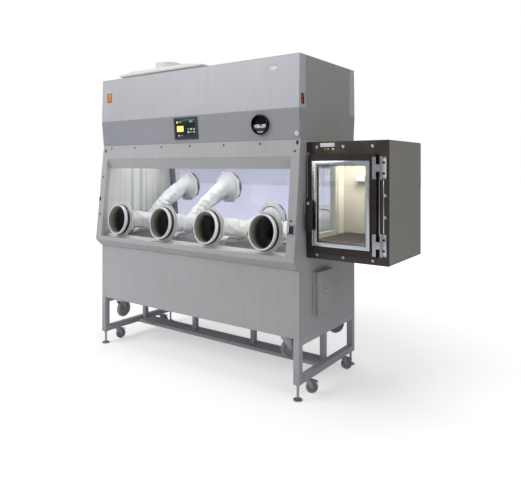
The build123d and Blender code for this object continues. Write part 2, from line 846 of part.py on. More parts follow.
# Each route gives the sleeve's centres in the cabinet, as offsets from its port's x, then y and z
front_route = (
    ((12, -300, 978), (64, 66)),
    ((40, -180, 962), (58, 60)),
    ((70, -60, 938), (52, 54)),
    ((88, 20, 905), wrist),
    ((98, 75, palm_z), palm),
    ((108, 140, fingertip_z), tips),
)
high_route = (
    ((-7, 270, 1195), (64, 66)),
    ((-50, 150, 1100), (57, 60)),
    ((-90, 40, 985), (50, 54)),
    ((-115, -30, 905), wrist),
    ((-125, -70, palm_z), palm),
    ((-133, -130, fingertip_z), tips),
)
low_route = (
    ((-2, 300, 975), (64, 66)),
    ((-12, 190, 950), (56, 60)),
    ((-25, 80, 915), (50, 54)),
    ((-45, 5, 888), wrist),
    ((-60, -45, palm_z), palm),
    ((-80, -105, fingertip_z), tips),
)
for side, side_name in ((-1, "front"), (1, "back")):
    sleeves = []
    for (x, y), height in zip(port_places(side), port_heights[side]):
        if side < 0:
            offsets = front_route
        else:
            offsets = high_route if height == port_high_z else low_route
        port_centre = mid - side * x
        route = [((port_centre + dx, py, pz), size) for (dx, py, pz), size in offsets]
        sleeves.append(gauntlet(side, x, y, route))
    gauntlets = Compound(children=sleeves)
    gauntlets.label = "gauntlets_" + side_name
    export_step(gauntlets, "parts/" + gauntlets.label + ".step")

# Top housing: a roof with two end walls, and a bent fascia on each side
housing_outline = (
    (housing_foot_y, housing_foot_z),
    (housing_bend_y, housing_bend_z),
    (housing_top_y, housing_top - sheet),
)
seam_y = housing_bend_y - fascia_flange - 3
with BuildPart() as housing_shell:
    block(left_x, end_x, -housing_top_y, housing_top_y, housing_top - sheet, housing_top)
    block(left_x + sheet, end_x - sheet, -seam_y + sheet, seam_y - sheet,
          housing_foot_z, housing_foot_z + sheet)
    for end in sides:
        outside = mid + end * half_width
        block(outside, outside - end * sheet, -seam_y, seam_y, housing_foot_z, housing_top - sheet)
    with Locations((mid + spigot_x, 0, housing_top)):
        Cylinder(spigot_radius - hood_wall, 4 * sheet, mode=Mode.SUBTRACT)
save(housing_shell, "housing_shell")

for side, side_name in ((-1, "front"), (1, "back")):
    with BuildPart() as fascia:
        with BuildSketch(Plane.YZ.offset(left_x)) as outline:
            with BuildLine():
                Polyline(
                    *[(side * y, z) for y, z in housing_outline[:2]],
                    (side * housing_top_y, housing_top - sheet - seat_gap),
                    (side * (seam_y + panel_gap), housing_top - sheet - seat_gap),
                    (side * (seam_y + panel_gap), housing_foot_z),
                    close=True,
                )
            make_face()
        extrude(outline.sketch, amount=body_width)
        inner_face = fascia.faces().filter_by(Axis.Y).sort_by(Axis.Y)[-1 if side < 0 else 0]
        offset(amount=-sheet, openings=inner_face)
        if side < 0:
            with Locations(Location((mid + gauge_x, -housing_bend_y, gauge_z), (90, 0, 0))):
                Cylinder(gauge_bore, 60, mode=Mode.SUBTRACT)
            block(end_x - 2 * sheet, end_x + sheet, switch_y - switch_width / 2 + 2,
                  switch_y + switch_width / 2 - 2, switch_z - switch_height / 2 + 2,
                  switch_z + switch_height / 2 - 2, Mode.SUBTRACT)
    save(fascia, "fascia_" + side_name)

# Exhaust hood on the roof: a shallow foot, a lip, a sloping top and the duct's spigot
hood_mid_x = mid + (hood_left + hood_right) / 2
hood_width = hood_right - hood_left
hood_lip_z = housing_top + hood_foot_height
hood_top_mid_x = mid + (hood_left + hood_top_right) / 2
with BuildPart() as exhaust_hood:
    with BuildSketch(Plane((hood_mid_x, 0, housing_top))) as foot_outline:
        Rectangle(hood_width - 2 * hood_inset, 2 * (hood_half_depth - hood_inset))
    extrude(foot_outline.sketch, amount=hood_foot_height)
    with BuildSketch(Plane((hood_mid_x, 0, hood_lip_z))) as lip_outline:
        Rectangle(hood_width, 2 * hood_half_depth)
    extrude(lip_outline.sketch, amount=hood_lip)
    with BuildSketch(Plane((hood_mid_x, 0, hood_lip_z + hood_lip))) as slope_low:
        Rectangle(hood_width - 2, 2 * hood_half_depth - 2)
    with BuildSketch(Plane((hood_top_mid_x, 0, hood_top_z))) as slope_high:
        Rectangle(hood_top_right - hood_left - 8, 2 * hood_top_half_depth)
    loft([slope_low.sketch.faces()[0], slope_high.sketch.faces()[0]])
    with BuildSketch(Plane((mid + spigot_x, 0, hood_top_z))) as spigot:
        Circle(spigot_radius)
    extrude(spigot.sketch, amount=spigot_top_z - hood_top_z)
    with BuildSketch(Plane((mid + spigot_x, 0, housing_top))) as duct:
        Circle(spigot_radius - hood_wall)
    extrude(duct.sketch, amount=spigot_top_z - housing_top, mode=Mode.SUBTRACT)
save(exhaust_hood, "exhaust_hood")

# Operator display, set on the lower band of the front fascia
band_tilt = atan2(housing_bend_y - housing_foot_y, housing_bend_z - housing_foot_z)


def band_plane(x, z):
    """A plane on the front fascia's lower band, with y up the slope."""
    y = housing_foot_y + (z - housing_foot_z) * tan(band_tilt)
    return Plane(origin=(mid + x, -y, z), x_dir=(1, 0, 0), z_dir=(0, -cos(band_tilt), -sin(band_tilt)))


with BuildPart() as display_unit:
    with BuildSketch(band_plane(display_x, display_z)) as bezel:
        RectangleRounded(display_width, display_height, 6)
    extrude(bezel.sketch, amount=display_out)
    chamfer(display_unit.faces().sort_by(Axis.Y)[0].edges(), 2)
    with BuildSketch(band_plane(display_x, display_z)) as screen:
        with Locations((0, display_height * 0.13)):
            Rectangle(display_width * 0.62, display_height * 0.5)
    screen_face = screen.sketch.moved(Location(band_plane(0, 0).z_dir * display_out))
    extrude(screen_face, amount=-2, mode=Mode.SUBTRACT)
save(display_unit, "display_unit")

# Pressure gauge: a round case through the fascia, with a pointer on its centre pin
gauge_plane = band_plane(gauge_x, gauge_z)
with BuildPart() as gauge_case:
    with BuildSketch(gauge_plane) as bezel:
        Circle(gauge_radius)
    extrude(bezel.sketch, amount=gauge_out)
    chamfer(gauge_case.faces().sort_by(Axis.Y)[0].edges(), 4)
    with BuildSketch(gauge_plane.offset(6)) as dial:
        Circle(gauge_radius - 8)
    extrude(dial.sketch, amount=gauge_out, mode=Mode.SUBTRACT)
    with BuildSketch(gauge_plane) as body_tube:
        Circle(gauge_bore - 1.5)
    extrude(body_tube.sketch, amount=-34)
    with BuildSketch(gauge_plane.offset(6)) as centre_pin:
        Circle(pointer_pin_radius)
    extrude(centre_pin.sketch, amount=9)
save(gauge_case, "gauge_case")

with BuildPart() as gauge_pointer:
    with BuildSketch(gauge_plane.offset(9)) as needle:
        with BuildLine():
            Polyline((-3, -14), (3, -14), (0.6, pointer_length), (-0.6, pointer_length), close=True)
        make_face()
        Circle(6)
        Circle(pointer_pin_radius + seat_gap, mode=Mode.SUBTRACT)
    extrude(needle.sketch.rotate(Axis(gauge_plane.origin, gauge_plane.z_dir), pointer_rest), amount=2)
save(gauge_pointer, "gauge_pointer")

# Mains rocker on the right-hand end of the fascia
rocker_x = end_x - sheet - 1
with BuildPart() as switch_frame:
    block(end_x + seat_gap, end_x + 3, switch_y - switch_width / 2, switch_y + switch_width / 2,
          switch_z - switch_height / 2, switch_z + switch_height / 2)
    block(end_x - 18, end_x + seat_gap, switch_y - switch_width / 2 + 3, switch_y + switch_width / 2 - 3,
          switch_z - switch_height / 2 + 3, switch_z + switch_height / 2 - 3)
    block(end_x - 14, end_x + 4, switch_y - switch_width / 2 + 6, switch_y + switch_width / 2 - 6,
          switch_z - switch_height / 2 + 7, switch_z + switch_height / 2 - 7, Mode.SUBTRACT)
save(switch_frame, "switch_frame")

rocker_half = switch_height / 2 - 7 - 1.2
with BuildPart() as switch_rocker:
    with BuildSketch(Plane.XZ.offset(-switch_y)) as outline:
        with BuildLine():
            Polyline(
                (rocker_x, switch_z),
                (end_x + 6, switch_z + rocker_half),
                (end_x - 4, switch_z + rocker_half),
                (end_x - 9, switch_z),
                (end_x - 4, switch_z - rocker_half),
                (end_x + 1, switch_z - rocker_half),
                close=True,
            )
        make_face()
    extrude(outline.sketch, amount=switch_width / 2 - 6 - 0.6, both=True)
save(switch_rocker, "switch_rocker")

# Inside the top: a chamber lamp, two filter boxes and a blower with its wheel
with BuildPart() as chamber_lamp:
    block(mid - lamp_half_length, mid + lamp_half_length, -lamp_half_width, lamp_half_width,
          chamber_ceiling_z - chamber_plate - lamp_height, chamber_ceiling_z - chamber_plate)
    chamfer(chamber_lamp.faces().sort_by(Axis.Z)[0].edges(), 8)
save(chamber_lamp, "chamber_lamp")

filters = []
for x, low, high, half_length, half_depth in (
    (0.0, chamber_ceiling_z, housing_foot_z, supply_filter_half, 205.0),
    ((hood_left + hood_right) / 2, housing_foot_z + sheet, exhaust_filter_top, exhaust_filter_half, 200.0),
):
    with BuildPart() as filter_box:
        block(mid + x - half_length, mid + x + half_length, -half_depth, half_depth, low, high)
        block(mid + x - half_length + 15, mid + x + half_length - 15, -half_depth + 15, half_depth - 15,
              high - 8, high, Mode.SUBTRACT)
    filters.append(filter_box.part)
hepa_filter = Compound(children=filters)
hepa_filter.label = "hepa_filter"
export_step(hepa_filter, "parts/hepa_filter.step")

blower_middle = (mid + blower_x, 0, blower_z)
blower_half = blower_width / 2
with BuildPart() as blower_housing:
    with Locations(Location(blower_middle, (90, 0, 0))):
        Cylinder(blower_radius, blower_width)
    block(mid + blower_x - blower_radius, mid + blower_x - blower_radius + 110, -70, 70,
          housing_foot_z + sheet, blower_z)
    block(mid + blower_x + blower_radius - 50, mid + blower_x + blower_radius - 10, -70, 70,
          housing_foot_z + sheet, blower_z)
    with Locations(Location((mid + blower_x, -2, blower_z), (90, 0, 0))):
        Cylinder(blower_radius - blower_wall, blower_width - 2 * blower_wall, mode=Mode.SUBTRACT)
    with Locations(Location((mid + blower_x, -blower_half, blower_z), (90, 0, 0))):
        Cylinder(blower_inlet_radius, 4 * blower_wall, mode=Mode.SUBTRACT)
    block(mid + blower_x - blower_radius + 6, mid + blower_x - blower_radius + 104, -64, 64,
          housing_foot_z + sheet, blower_z, Mode.SUBTRACT)
    with Locations(Location((mid + blower_x, blower_half / 2, blower_z), (90, 0, 0))):
        Cylinder(blower_shaft_radius, blower_half - 2)
save(blower_housing, "blower_housing")

wheel_back = blower_half - 26
with BuildPart() as blower_wheel:
    with Locations(Location((mid + blower_x, wheel_back, blower_z), (90, 0, 0))):
        Cylinder(blower_wheel_radius, 6)
    with Locations(Location((mid + blower_x, wheel_back - 18, blower_z), (90, 0, 0))):
        Cylinder(3 * blower_shaft_radius, 36)
    with BuildSketch(Plane.XZ.offset(-wheel_back)) as blades:
        with Locations((mid + blower_x, blower_z)):
            with PolarLocations(blower_wheel_radius - 16, blower_blades):
                Rectangle(24, 2.5)
    extrude(blades.sketch, amount=blower_blade_length)
    with Locations(Location((mid + blower_x, wheel_back, blower_z), (90, 0, 0))):
        Cylinder(blower_shaft_radius + seat_gap, 200, mode=Mode.SUBTRACT)
save(blower_wheel, "blower_wheel")

# Airlock: an insulated box on the right end, open to the chamber and to the front
lock_x0 = end_x
lock_x1 = end_x + airlock_width
lock_front = -airlock_front + airlock_plate
lock_inner_x0 = lock_x0 + airlock_end_plate
lock_inner_x1 = lock_x1 - airlock_wall
lock_inner_back = airlock_back - airlock_wall
lock_inner_low = airlock_low + airlock_wall
lock_inner_high = airlock_high - airlock_wall
liner_x0 = chamber_x1 - chamber_plate
inner_pin_x = lock_inner_x0 + 1 + inner_door_thickness / 2
inner_pin_y = inner_door_back + inner_hinge_radius + 1
with BuildPart() as airlock_shell:
    block(lock_x0, lock_x1, lock_front, airlock_back, airlock_low, airlock_high)
    block(lock_inner_x0, lock_inner_x1, lock_front, lock_inner_back, lock_inner_low,
          lock_inner_high, Mode.SUBTRACT)
    block(liner_x0, lock_x0 + 1, opening_front + seat_gap, opening_back - seat_gap,
          opening_low + seat_gap, opening_high - seat_gap)
    block(liner_x0, lock_inner_x0, opening_front + liner_wall, opening_back - liner_wall,
          opening_low + liner_wall, opening_high - liner_wall, Mode.SUBTRACT)
    for x0, x1 in ((lock_inner_x0, lock_inner_x0 + 28), (lock_inner_x1 - 16, lock_inner_x1)):
        block(x0, x1, lock_front + 12, lock_inner_back, shelf_z - 10, shelf_z)
    for low, high in (
        (inner_door_low - 14, inner_door_low - 0.5),
        (inner_door_high + 0.5, inner_door_high + 14),
    ):
        block(lock_inner_x0, inner_pin_x + inner_hinge_radius, inner_pin_y - inner_hinge_radius,
              inner_pin_y + inner_hinge_radius, low, high)
    with Locations((inner_pin_x, inner_pin_y, (inner_door_low + inner_door_high) / 2)):
        Cylinder(inner_pin_radius, inner_door_high - inner_door_low + 20)
save(airlock_shell, "airlock_shell")

with BuildPart() as airlock_front_plate:
    block(lock_x0, lock_x1, -airlock_front, lock_front, airlock_low, airlock_high)
    block(mid + airlock_opening_left, mid + airlock_opening_right, -airlock_front, lock_front,
          airlock_opening_low, airlock_opening_high, Mode.SUBTRACT)
    fillet(airlock_front_plate.edges().filter_by(Axis.Y).group_by(
        lambda edge: abs(edge.center().X - (lock_x0 + lock_x1) / 2) < airlock_width / 2 - 8)[-1], 14)
save(airlock_front_plate, "airlock_front_plate")

with BuildPart() as airlock_shelf:
    shelf_x0 = lock_inner_x0 + 20
    shelf_x1 = lock_inner_x1 - 4
    shelf_y0 = lock_front + 16
    shelf_y1 = lock_inner_back - 4
    for y in (shelf_y0, shelf_y1 - shelf_bar):
        block(shelf_x0, shelf_x1, y, y + shelf_bar, shelf_z, shelf_z + shelf_height)
    bar_count = int((shelf_x1 - shelf_x0 - shelf_bar) // shelf_pitch)
    bar_pitch = (shelf_x1 - shelf_x0 - shelf_bar) / bar_count
    for index in range(bar_count + 1):
        x = shelf_x0 + index * bar_pitch
        block(x, x + shelf_bar, shelf_y0, shelf_y1, shelf_z, shelf_z + shelf_height)
save(airlock_shelf, "airlock_shelf")

# Inner door: a clear plate on a full-length hinge, which swings into the airlock
with BuildPart() as inner_door:
    block(inner_pin_x - inner_door_thickness / 2, inner_pin_x + inner_door_thickness / 2,
          inner_door_front, inner_pin_y, inner_door_low, inner_door_high)
    with Locations((inner_pin_x, inner_pin_y, (inner_door_low + inner_door_high) / 2)):
        Cylinder(inner_hinge_radius, inner_door_high - inner_door_low)
        Cylinder(inner_pin_radius + hinge_running_gap, inner_door_high - inner_door_low,
                 mode=Mode.SUBTRACT)
    handle_y = inner_door_front + 26
    handle_face = inner_pin_x + inner_door_thickness / 2
    handle_z = (inner_door_low + inner_door_high) / 2
    for end in sides:
        block(handle_face - 1, handle_face + 26, handle_y - 5, handle_y + 5,
              handle_z + end * 46 - 5, handle_z + end * 46 + 5)
    block(handle_face + 16, handle_face + 26, handle_y - 5, handle_y + 5, handle_z - 51, handle_z + 51)
save(inner_door, "inner_door")

# Airlock door with a window, its glass, hinges, keeper and latch lever
door_back = -airlock_front - door_gap
door_front = door_back - door_thickness
sight_left = mid + door_trim_left + door_trim_width
sight_right = mid + door_trim_right - door_trim_width
sight_low = door_trim_low + door_trim_width
sight_high = door_trim_high - door_trim_width
pin_x = mid + hinge_pin_x
pin_y = -airlock_front - hinge_pin_out
glass_back = door_back - (door_thickness - door_glass_thickness) / 2
with BuildPart() as airlock_door:
    block(mid + door_left, mid + door_right, door_front, door_back, door_low, door_high)
    corners = airlock_door.edges().filter_by(Axis.Y)
    fillet(corners, door_corner_radius)
    with BuildSketch(Plane.XZ.offset(-door_front)) as trim_outline:
        with Locations(((sight_left + sight_right) / 2, (sight_low + sight_high) / 2)):
            RectangleRounded(sight_right - sight_left + 2 * door_trim_width,
                             sight_high - sight_low + 2 * door_trim_width, door_corner_radius)
    extrude(trim_outline.sketch, amount=door_trim_out)
    block(sight_left, sight_right, door_front - 10, door_back + 5, sight_low, sight_high, Mode.SUBTRACT)
    block(sight_left - door_glass_lap - glass_gap, sight_right + door_glass_lap + glass_gap,
          glass_back - door_glass_thickness - glass_gap, glass_back + glass_gap,
          sight_low - door_glass_lap - glass_gap, sight_high + door_glass_lap + glass_gap, Mode.SUBTRACT)
    with Locations(Location((mid + latch_x, door_back, latch_z), (90, 0, 0))):
        Cylinder(latch_shaft_radius + seat_gap, 4 * door_thickness, mode=Mode.SUBTRACT)
save(airlock_door, "airlock_door")

with BuildPart() as door_glass:
    block(sight_left - door_glass_lap, sight_right + door_glass_lap, glass_back - door_glass_thickness,
          glass_back, sight_low - door_glass_lap, sight_high + door_glass_lap)
save(door_glass, "door_glass")

hinge_third = hinge_height / 3
hinge_leaves = []
fittings = []
for hinge_z in (hinge_low_z, hinge_high_z):
    low = hinge_z - hinge_height / 2
    with BuildPart() as leaf:
        block(pin_x - hinge_leaf_width, pin_x, door_front - hinge_leaf_thickness, door_front,
              low + hinge_third + seat_gap, low + 2 * hinge_third - seat_gap)
        with Locations((pin_x, pin_y, hinge_z)):
            Cylinder(hinge_knuckle_radius, hinge_third - 2 * seat_gap)
        block(mid + door_right + seat_gap, pin_x, door_front, pin_y + 2,
              low + hinge_third + seat_gap, low + 2 * hinge_third - seat_gap)
        block(pin_x - hinge_leaf_width, mid + door_right + seat_gap, door_front - hinge_leaf_thickness,
              door_front, low, low + hinge_height)
        with Locations((pin_x, pin_y, hinge_z)):
            Cylinder(hinge_pin_radius + hinge_running_gap, hinge_height, mode=Mode.SUBTRACT)
    hinge_leaves.append(leaf.part)
    with BuildPart() as bracket:
        block(pin_x - hinge_knuckle_radius, pin_x + hinge_foot_width, -airlock_front - hinge_foot_thickness,
              -airlock_front, low, low + hinge_height)
        block(pin_x - hinge_knuckle_radius, pin_x + hinge_knuckle_radius, pin_y,
              -airlock_front - hinge_foot_thickness, low, low + hinge_height)
        with Locations((pin_x, pin_y, hinge_z)):
            Cylinder(hinge_knuckle_radius, hinge_height)
        with Locations((pin_x, pin_y, hinge_z)):
            Cylinder(hinge_knuckle_radius + 3 * hinge_running_gap, hinge_third, mode=Mode.SUBTRACT)
        with Locations((pin_x, pin_y, hinge_z)):
            Cylinder(hinge_pin_radius, hinge_height + 2 * hinge_pin_end)
    fittings.append(bracket.part)
hinge_leaf_set = Compound(children=hinge_leaves)
hinge_leaf_set.label = "hinge_leaves"
export_step(hinge_leaf_set, "parts/hinge_leaves.step")

with BuildPart() as keeper:
    keeper_x0 = mid + door_left - 1 - keeper_width
    block(keeper_x0, keeper_x0 + keeper_width, -airlock_front - keeper_out, -airlock_front,
          keeper_z - keeper_height / 2, keeper_z + keeper_height / 2)
    chamfer(keeper.faces().sort_by(Axis.Y)[0].edges(), 4)
fittings.append(keeper.part)
door_fittings = Compound(children=fittings)
door_fittings.label = "door_fittings"
export_step(door_fittings, "parts/door_fittings.step")

lever_face = door_front - door_trim_out - lever_clear
with BuildPart() as latch_lever:
    with BuildSketch(Plane.XZ.offset(-lever_face)) as paddle:
        with Locations((mid + latch_x, latch_z + (lever_width / 2 - lever_drop) / 2)):
            RectangleRounded(lever_width, lever_drop + lever_width / 2, lever_width * 0.35)
    extrude(paddle.sketch, amount=lever_thickness)
    chamfer(latch_lever.faces().sort_by(Axis.Y)[0].edges(), 3)
    with BuildSketch(Plane.XZ.offset(-door_front + seat_gap)) as hub:
        with Locations((mid + latch_x, latch_z)):
            Circle(latch_hub_radius)
    extrude(hub.sketch, until=Until.NEXT)
    with BuildSketch(Plane.XZ.offset(-door_back)) as shaft:
        with Locations((mid + latch_x, latch_z)):
            Circle(latch_shaft_radius)
    extrude(shaft.sketch, amount=door_thickness + door_trim_out + lever_clear + 1)
save(latch_lever, "latch_lever")

# Side hatch: a shallow hinged cover over an opening in the right-hand side panel
hatch_middle_z = (hatch_low + hatch_high) / 2
with BuildPart() as hatch_cover:
    block(end_x + 0.5, end_x + hatch_out, hatch_front, hatch_back, hatch_low, hatch_high)
    chamfer(hatch_cover.faces().sort_by(Axis.X)[-1].edges(), 3)
    offset(amount=-sheet, openings=hatch_cover.faces().sort_by(Axis.X)[0])
    block(hatch_pin_x - 3, hatch_pin_x, hatch_hinge_y, hatch_front + 1,
          hatch_middle_z - hatch_quarter + seat_gap, hatch_middle_z + hatch_quarter - seat_gap)
    with Locations((hatch_pin_x, hatch_hinge_y, hatch_middle_z)):
        Cylinder(hatch_knuckle_radius, 2 * hatch_quarter - 2 * seat_gap)
        Cylinder(hatch_pin_radius + hinge_running_gap, 4 * hatch_quarter, mode=Mode.SUBTRACT)
    with Locations(Location((end_x + hatch_out, hatch_latch_y, hatch_latch_z), (0, 90, 0))):
        Cylinder(hatch_shaft_radius + seat_gap, 20, mode=Mode.SUBTRACT)
save(hatch_cover, "hatch_cover")

with BuildPart() as hatch_latch:
    with BuildSketch(Plane.YZ.offset(end_x + hatch_out + seat_gap)) as disc:
        with Locations((hatch_latch_y, hatch_latch_z)):
            Circle(hatch_latch_radius)
    extrude(disc.sketch, amount=3)
    with BuildSketch(Plane.YZ.offset(end_x + hatch_out + seat_gap)) as wing:
        with Locations((hatch_latch_y, hatch_latch_z)):
            RectangleRounded(7, 2 * hatch_latch_radius - 3, 3)
    extrude(wing.sketch, amount=12)
    with BuildSketch(Plane.YZ.offset(end_x + hatch_out - 14)) as shaft:
        with Locations((hatch_latch_y, hatch_latch_z)):
            Circle(hatch_shaft_radius)
    extrude(shaft.sketch, amount=16)
    block(end_x + hatch_out - 14, end_x + hatch_out - 11, hatch_latch_y - 6, hatch_latch_y + 6,
          hatch_latch_z - 8, hatch_latch_z + 30)
save(hatch_latch, "hatch_latch")
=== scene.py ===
import json
from math import cos, pi, radians, sin, tan

import bmesh
import bpy
from mathutils import Matrix, Vector
from mathutils.noise import noise as ripple


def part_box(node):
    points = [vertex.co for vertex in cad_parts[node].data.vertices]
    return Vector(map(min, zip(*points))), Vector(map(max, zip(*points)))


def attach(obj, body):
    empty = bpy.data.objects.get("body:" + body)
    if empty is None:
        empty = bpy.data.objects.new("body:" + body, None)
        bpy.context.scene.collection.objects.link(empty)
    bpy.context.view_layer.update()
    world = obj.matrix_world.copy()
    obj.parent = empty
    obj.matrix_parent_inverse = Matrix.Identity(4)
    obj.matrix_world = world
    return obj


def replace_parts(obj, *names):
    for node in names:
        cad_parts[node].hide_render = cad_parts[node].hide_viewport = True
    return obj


# Two-sided class III biosafety cabinet: finishes, gauntlets, fittings, floor, light and camera.
# All sizes are in metres in the part's own frame: +Z up, the front faces -Y, the airlock is at +X.

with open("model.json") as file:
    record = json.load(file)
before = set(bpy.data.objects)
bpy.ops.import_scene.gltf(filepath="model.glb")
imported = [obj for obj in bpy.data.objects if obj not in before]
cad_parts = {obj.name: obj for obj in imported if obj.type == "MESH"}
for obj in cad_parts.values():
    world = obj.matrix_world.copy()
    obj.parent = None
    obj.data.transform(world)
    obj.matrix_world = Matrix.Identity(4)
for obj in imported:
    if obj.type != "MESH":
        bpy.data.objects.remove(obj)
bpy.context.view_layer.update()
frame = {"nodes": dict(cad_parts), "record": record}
nodes = frame["nodes"]

# Places that the fittings share with the solids
mid = (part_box("housing_shell")[0].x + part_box("housing_shell")[1].x) / 2
lean = radians(6.0)
frame_top_y = 0.356
frame_top_z = 1.540
band_foot_y = 0.357
band_foot_z = 1.541
band_bend_y = 0.374
band_bend_z = 1.7275
band_top_y = 0.364
band_top_z = 2.046
plate_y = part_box("airlock_front_plate")[0].y
port_x = (-0.665, -0.210, 0.210, 0.665)
port_low = 0.983
port_high = 1.219
chamber_half_width = 0.868
left_wall_x = mid - chamber_half_width


# Small helpers for modelling
def alone(piece):
    """Select one piece and nothing else."""
    bpy.ops.object.select_all(action="DESELECT")
    piece.select_set(True)
    bpy.context.view_layer.objects.active = piece


def named(name, material):
    """Name the piece just added and give it its finish."""
    piece = bpy.context.object
    piece.name = name
    piece.data.name = name
    piece.data.materials.clear()
    piece.data.materials.append(material)
    return piece


def added(name, data):
    """Put a new object around some data in the scene."""
    made = bpy.data.objects.new(name, data)
    bpy.context.collection.objects.link(made)
    return made


def settle(piece, place=None):
    """Apply the piece's transform and put its mesh where it belongs, with the object at the origin."""
    alone(piece)
    bpy.ops.object.transform_apply(location=True, rotation=True, scale=True)
    if place is not None:
        piece.data.transform(place)
    piece.data.update()
    return piece


def add_modifier(piece, kind, **settings):
    """Add a modifier and apply it."""
    alone(piece)
    modifier = piece.modifiers.new(kind.lower(), kind)
    for key, value in settings.items():
        setattr(modifier, key, value)
    bpy.ops.object.modifier_apply(modifier=modifier.name)


def smooth(piece):
    """Shade smooth, with sharp edges kept."""
    alone(piece)
    bpy.ops.object.shade_smooth_by_angle(angle=radians(30))


def ride(piece, body):
    """Fasten a finished piece to a body."""
    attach(piece, body)
    return piece


def softened(piece, edge, place):
    """Round a new piece's edges, then put it in its place and shade it."""
    settle(piece)
    if edge > 0:
        add_modifier(piece, "BEVEL", width=edge, segments=2, limit_method="ANGLE")
    settle(piece, place)
    smooth(piece)
    return piece


def plate(name, size, centre, material, edge=0.001, place=None):
    """A plate or bar with softened edges, from its size and centre."""
    bpy.ops.object.select_all(action="DESELECT")
    bpy.ops.mesh.primitive_cube_add(size=1.0, location=centre)
    piece = named(name, material)
    piece.scale = size
    return softened(piece, edge, place)


def disc(name, radius, thickness, centre, material, edge=0.001, place=None, sides=48):
    """A round plate or rod along local z, with softened rims."""
    bpy.ops.object.select_all(action="DESELECT")
    bpy.ops.mesh.primitive_cylinder_add(vertices=sides, radius=radius, depth=thickness, location=centre)
    return softened(named(name, material), edge, place)


def join(pieces, name):
    """Join pieces into the first one, under a new name."""
    alone(pieces[0])
    for piece in pieces[1:]:
        piece.select_set(True)
    bpy.ops.object.join()
    pieces[0].name = name
    pieces[0].data.name = name
    return pieces[0]


def add_boolean(piece, cutter):
    """Cut one piece with another and remove the cutter."""
    add_modifier(piece, "BOOLEAN", operation="DIFFERENCE", object=cutter, solver="EXACT")
    bpy.data.objects.remove(cutter)


# Frames of reference on the leaning faces
def window_face(side, x, z):
    """A matrix on a window frame's outer face: x to the right, y up the slope, z outwards."""
    out = Vector((0, side * cos(lean), sin(lean)))
    right = Vector((-side, 0, 0))
    up = out.cross(right)
    y = side * (frame_top_y + (frame_top_z - z) * tan(lean))
    return Matrix(((right.x, up.x, out.x, mid + x), (right.y, up.y, out.y, y),
                   (right.z, up.z, out.z, z), (0, 0, 0, 1)))


def band_face(side, x, z):
    """A matrix on a fascia: on its lower band below the bend, and on its upper band above it."""
    if z < band_bend_z:
        low_y, low_z, high_y, high_z = band_foot_y, band_foot_z, band_bend_y, band_bend_z
    else:
        low_y, low_z, high_y, high_z = band_bend_y, band_bend_z, band_top_y, band_top_z
    run = Vector((0, side * (high_y - low_y), high_z - low_z)).normalized()
    right = Vector((-side, 0, 0))
    out = right.cross(run)
    y = side * (low_y + (high_y - low_y) * (z - low_z) / (high_z - low_z))
    return Matrix(((right.x, run.x, out.x, mid + x), (right.y, run.y, out.y, y),
                   (right.z, run.z, out.z, z), (0, 0, 0, 1)))


def wall_face(x, y, z):
    """A matrix on an upright face that looks to the front."""
    return Matrix(((1, 0, 0, x), (0, 0, -1, y), (0, 1, 0, z), (0, 0, 0, 1)))


# Shader building blocks
def screen(red, green, blue):
    """A colour for a shader from 8-bit screen values."""
    parts = [v / 255 for v in (red, green, blue)]
    return tuple(((v + 0.055) / 1.055) ** 2.4 if v > 0.04045 else v / 12.92 for v in parts) + (1.0,)


def feed(tree, made, inputs):
    """Set a node's inputs, or link them to other nodes' outputs."""
    for key, value in inputs.items():
        if isinstance(value, bpy.types.NodeSocket):
            tree.links.new(value, made.inputs[key])
        else:
            made.inputs[key].default_value = value


def node(tree, kind, inputs=None, **settings):
    """Add a shader node, set its properties, and feed its inputs."""
    made = tree.nodes.new("ShaderNode" + kind)
    for key, value in settings.items():
        setattr(made, key, value)
    feed(tree, made, inputs or {})
    return made


def mixed(tree, factor, first, second):
    """Mix two colours."""
    return node(tree, "Mix", {0: factor, 6: first, 7: second}, data_type="RGBA").outputs[2]


def maths(tree, operation, first, second=0.0):
    """One step of arithmetic on two values."""
    return node(tree, "Math", {0: first, 1: second}, operation=operation).outputs[0]


def ramp(tree, value, low, high, bottom=0.0, top=1.0):
    """Map a value from one range to another, held at both ends."""
    made = node(tree, "MapRange", {"Value": value, "From Min": low, "From Max": high,
                                   "To Min": bottom, "To Max": top})
    return made.outputs["Result"]


def stretched(tree, vector, scale):
    """Stretch a position before it goes into a texture."""
    return node(tree, "Mapping", {"Vector": vector, "Scale": scale}).outputs["Vector"]


def noise(tree, vector, scale, detail=3.0, roughness=0.55):
    """A noise pattern from 0 to 1."""
    made = node(tree, "TexNoise", {"Vector": vector, "Scale": scale, "Detail": detail,
                                   "Roughness": roughness})
    return made.outputs["Fac"]


def bumped(tree, height, strength, distance=0.001, normal=None):
    """A normal from a height."""
    inputs = {"Height": height, "Strength": strength, "Distance": distance}
    if normal is not None:
        inputs["Normal"] = normal
    return node(tree, "Bump", inputs).outputs["Normal"]


def axes(tree, vector):
    """The x, y and z of a position."""
    return node(tree, "SeparateXYZ", {"Vector": vector}).outputs


def between(tree, value, low, high, soft=0.0005):
    """1 where a value lies between two limits, and 0 outside them."""
    return maths(tree, "MULTIPLY", ramp(tree, value, low - soft, low + soft),
                 ramp(tree, value, high - soft, high + soft, 1.0, 0.0))


def seen_rays(tree):
    """1 for the rays that the camera sees, straight or through glass."""
    path = node(tree, "LightPath").outputs
    return maths(tree, "MAXIMUM", path["Is Camera Ray"], path["Is Transmission Ray"])


def blank(name):
    """A new material, with its tree, its shader and the position on the piece."""
    made = bpy.data.materials.new(name)
    made.use_nodes = True
    tree = made.node_tree
    return made, tree, tree.nodes["Principled BSDF"], node(tree, "TexCoord").outputs["Object"]


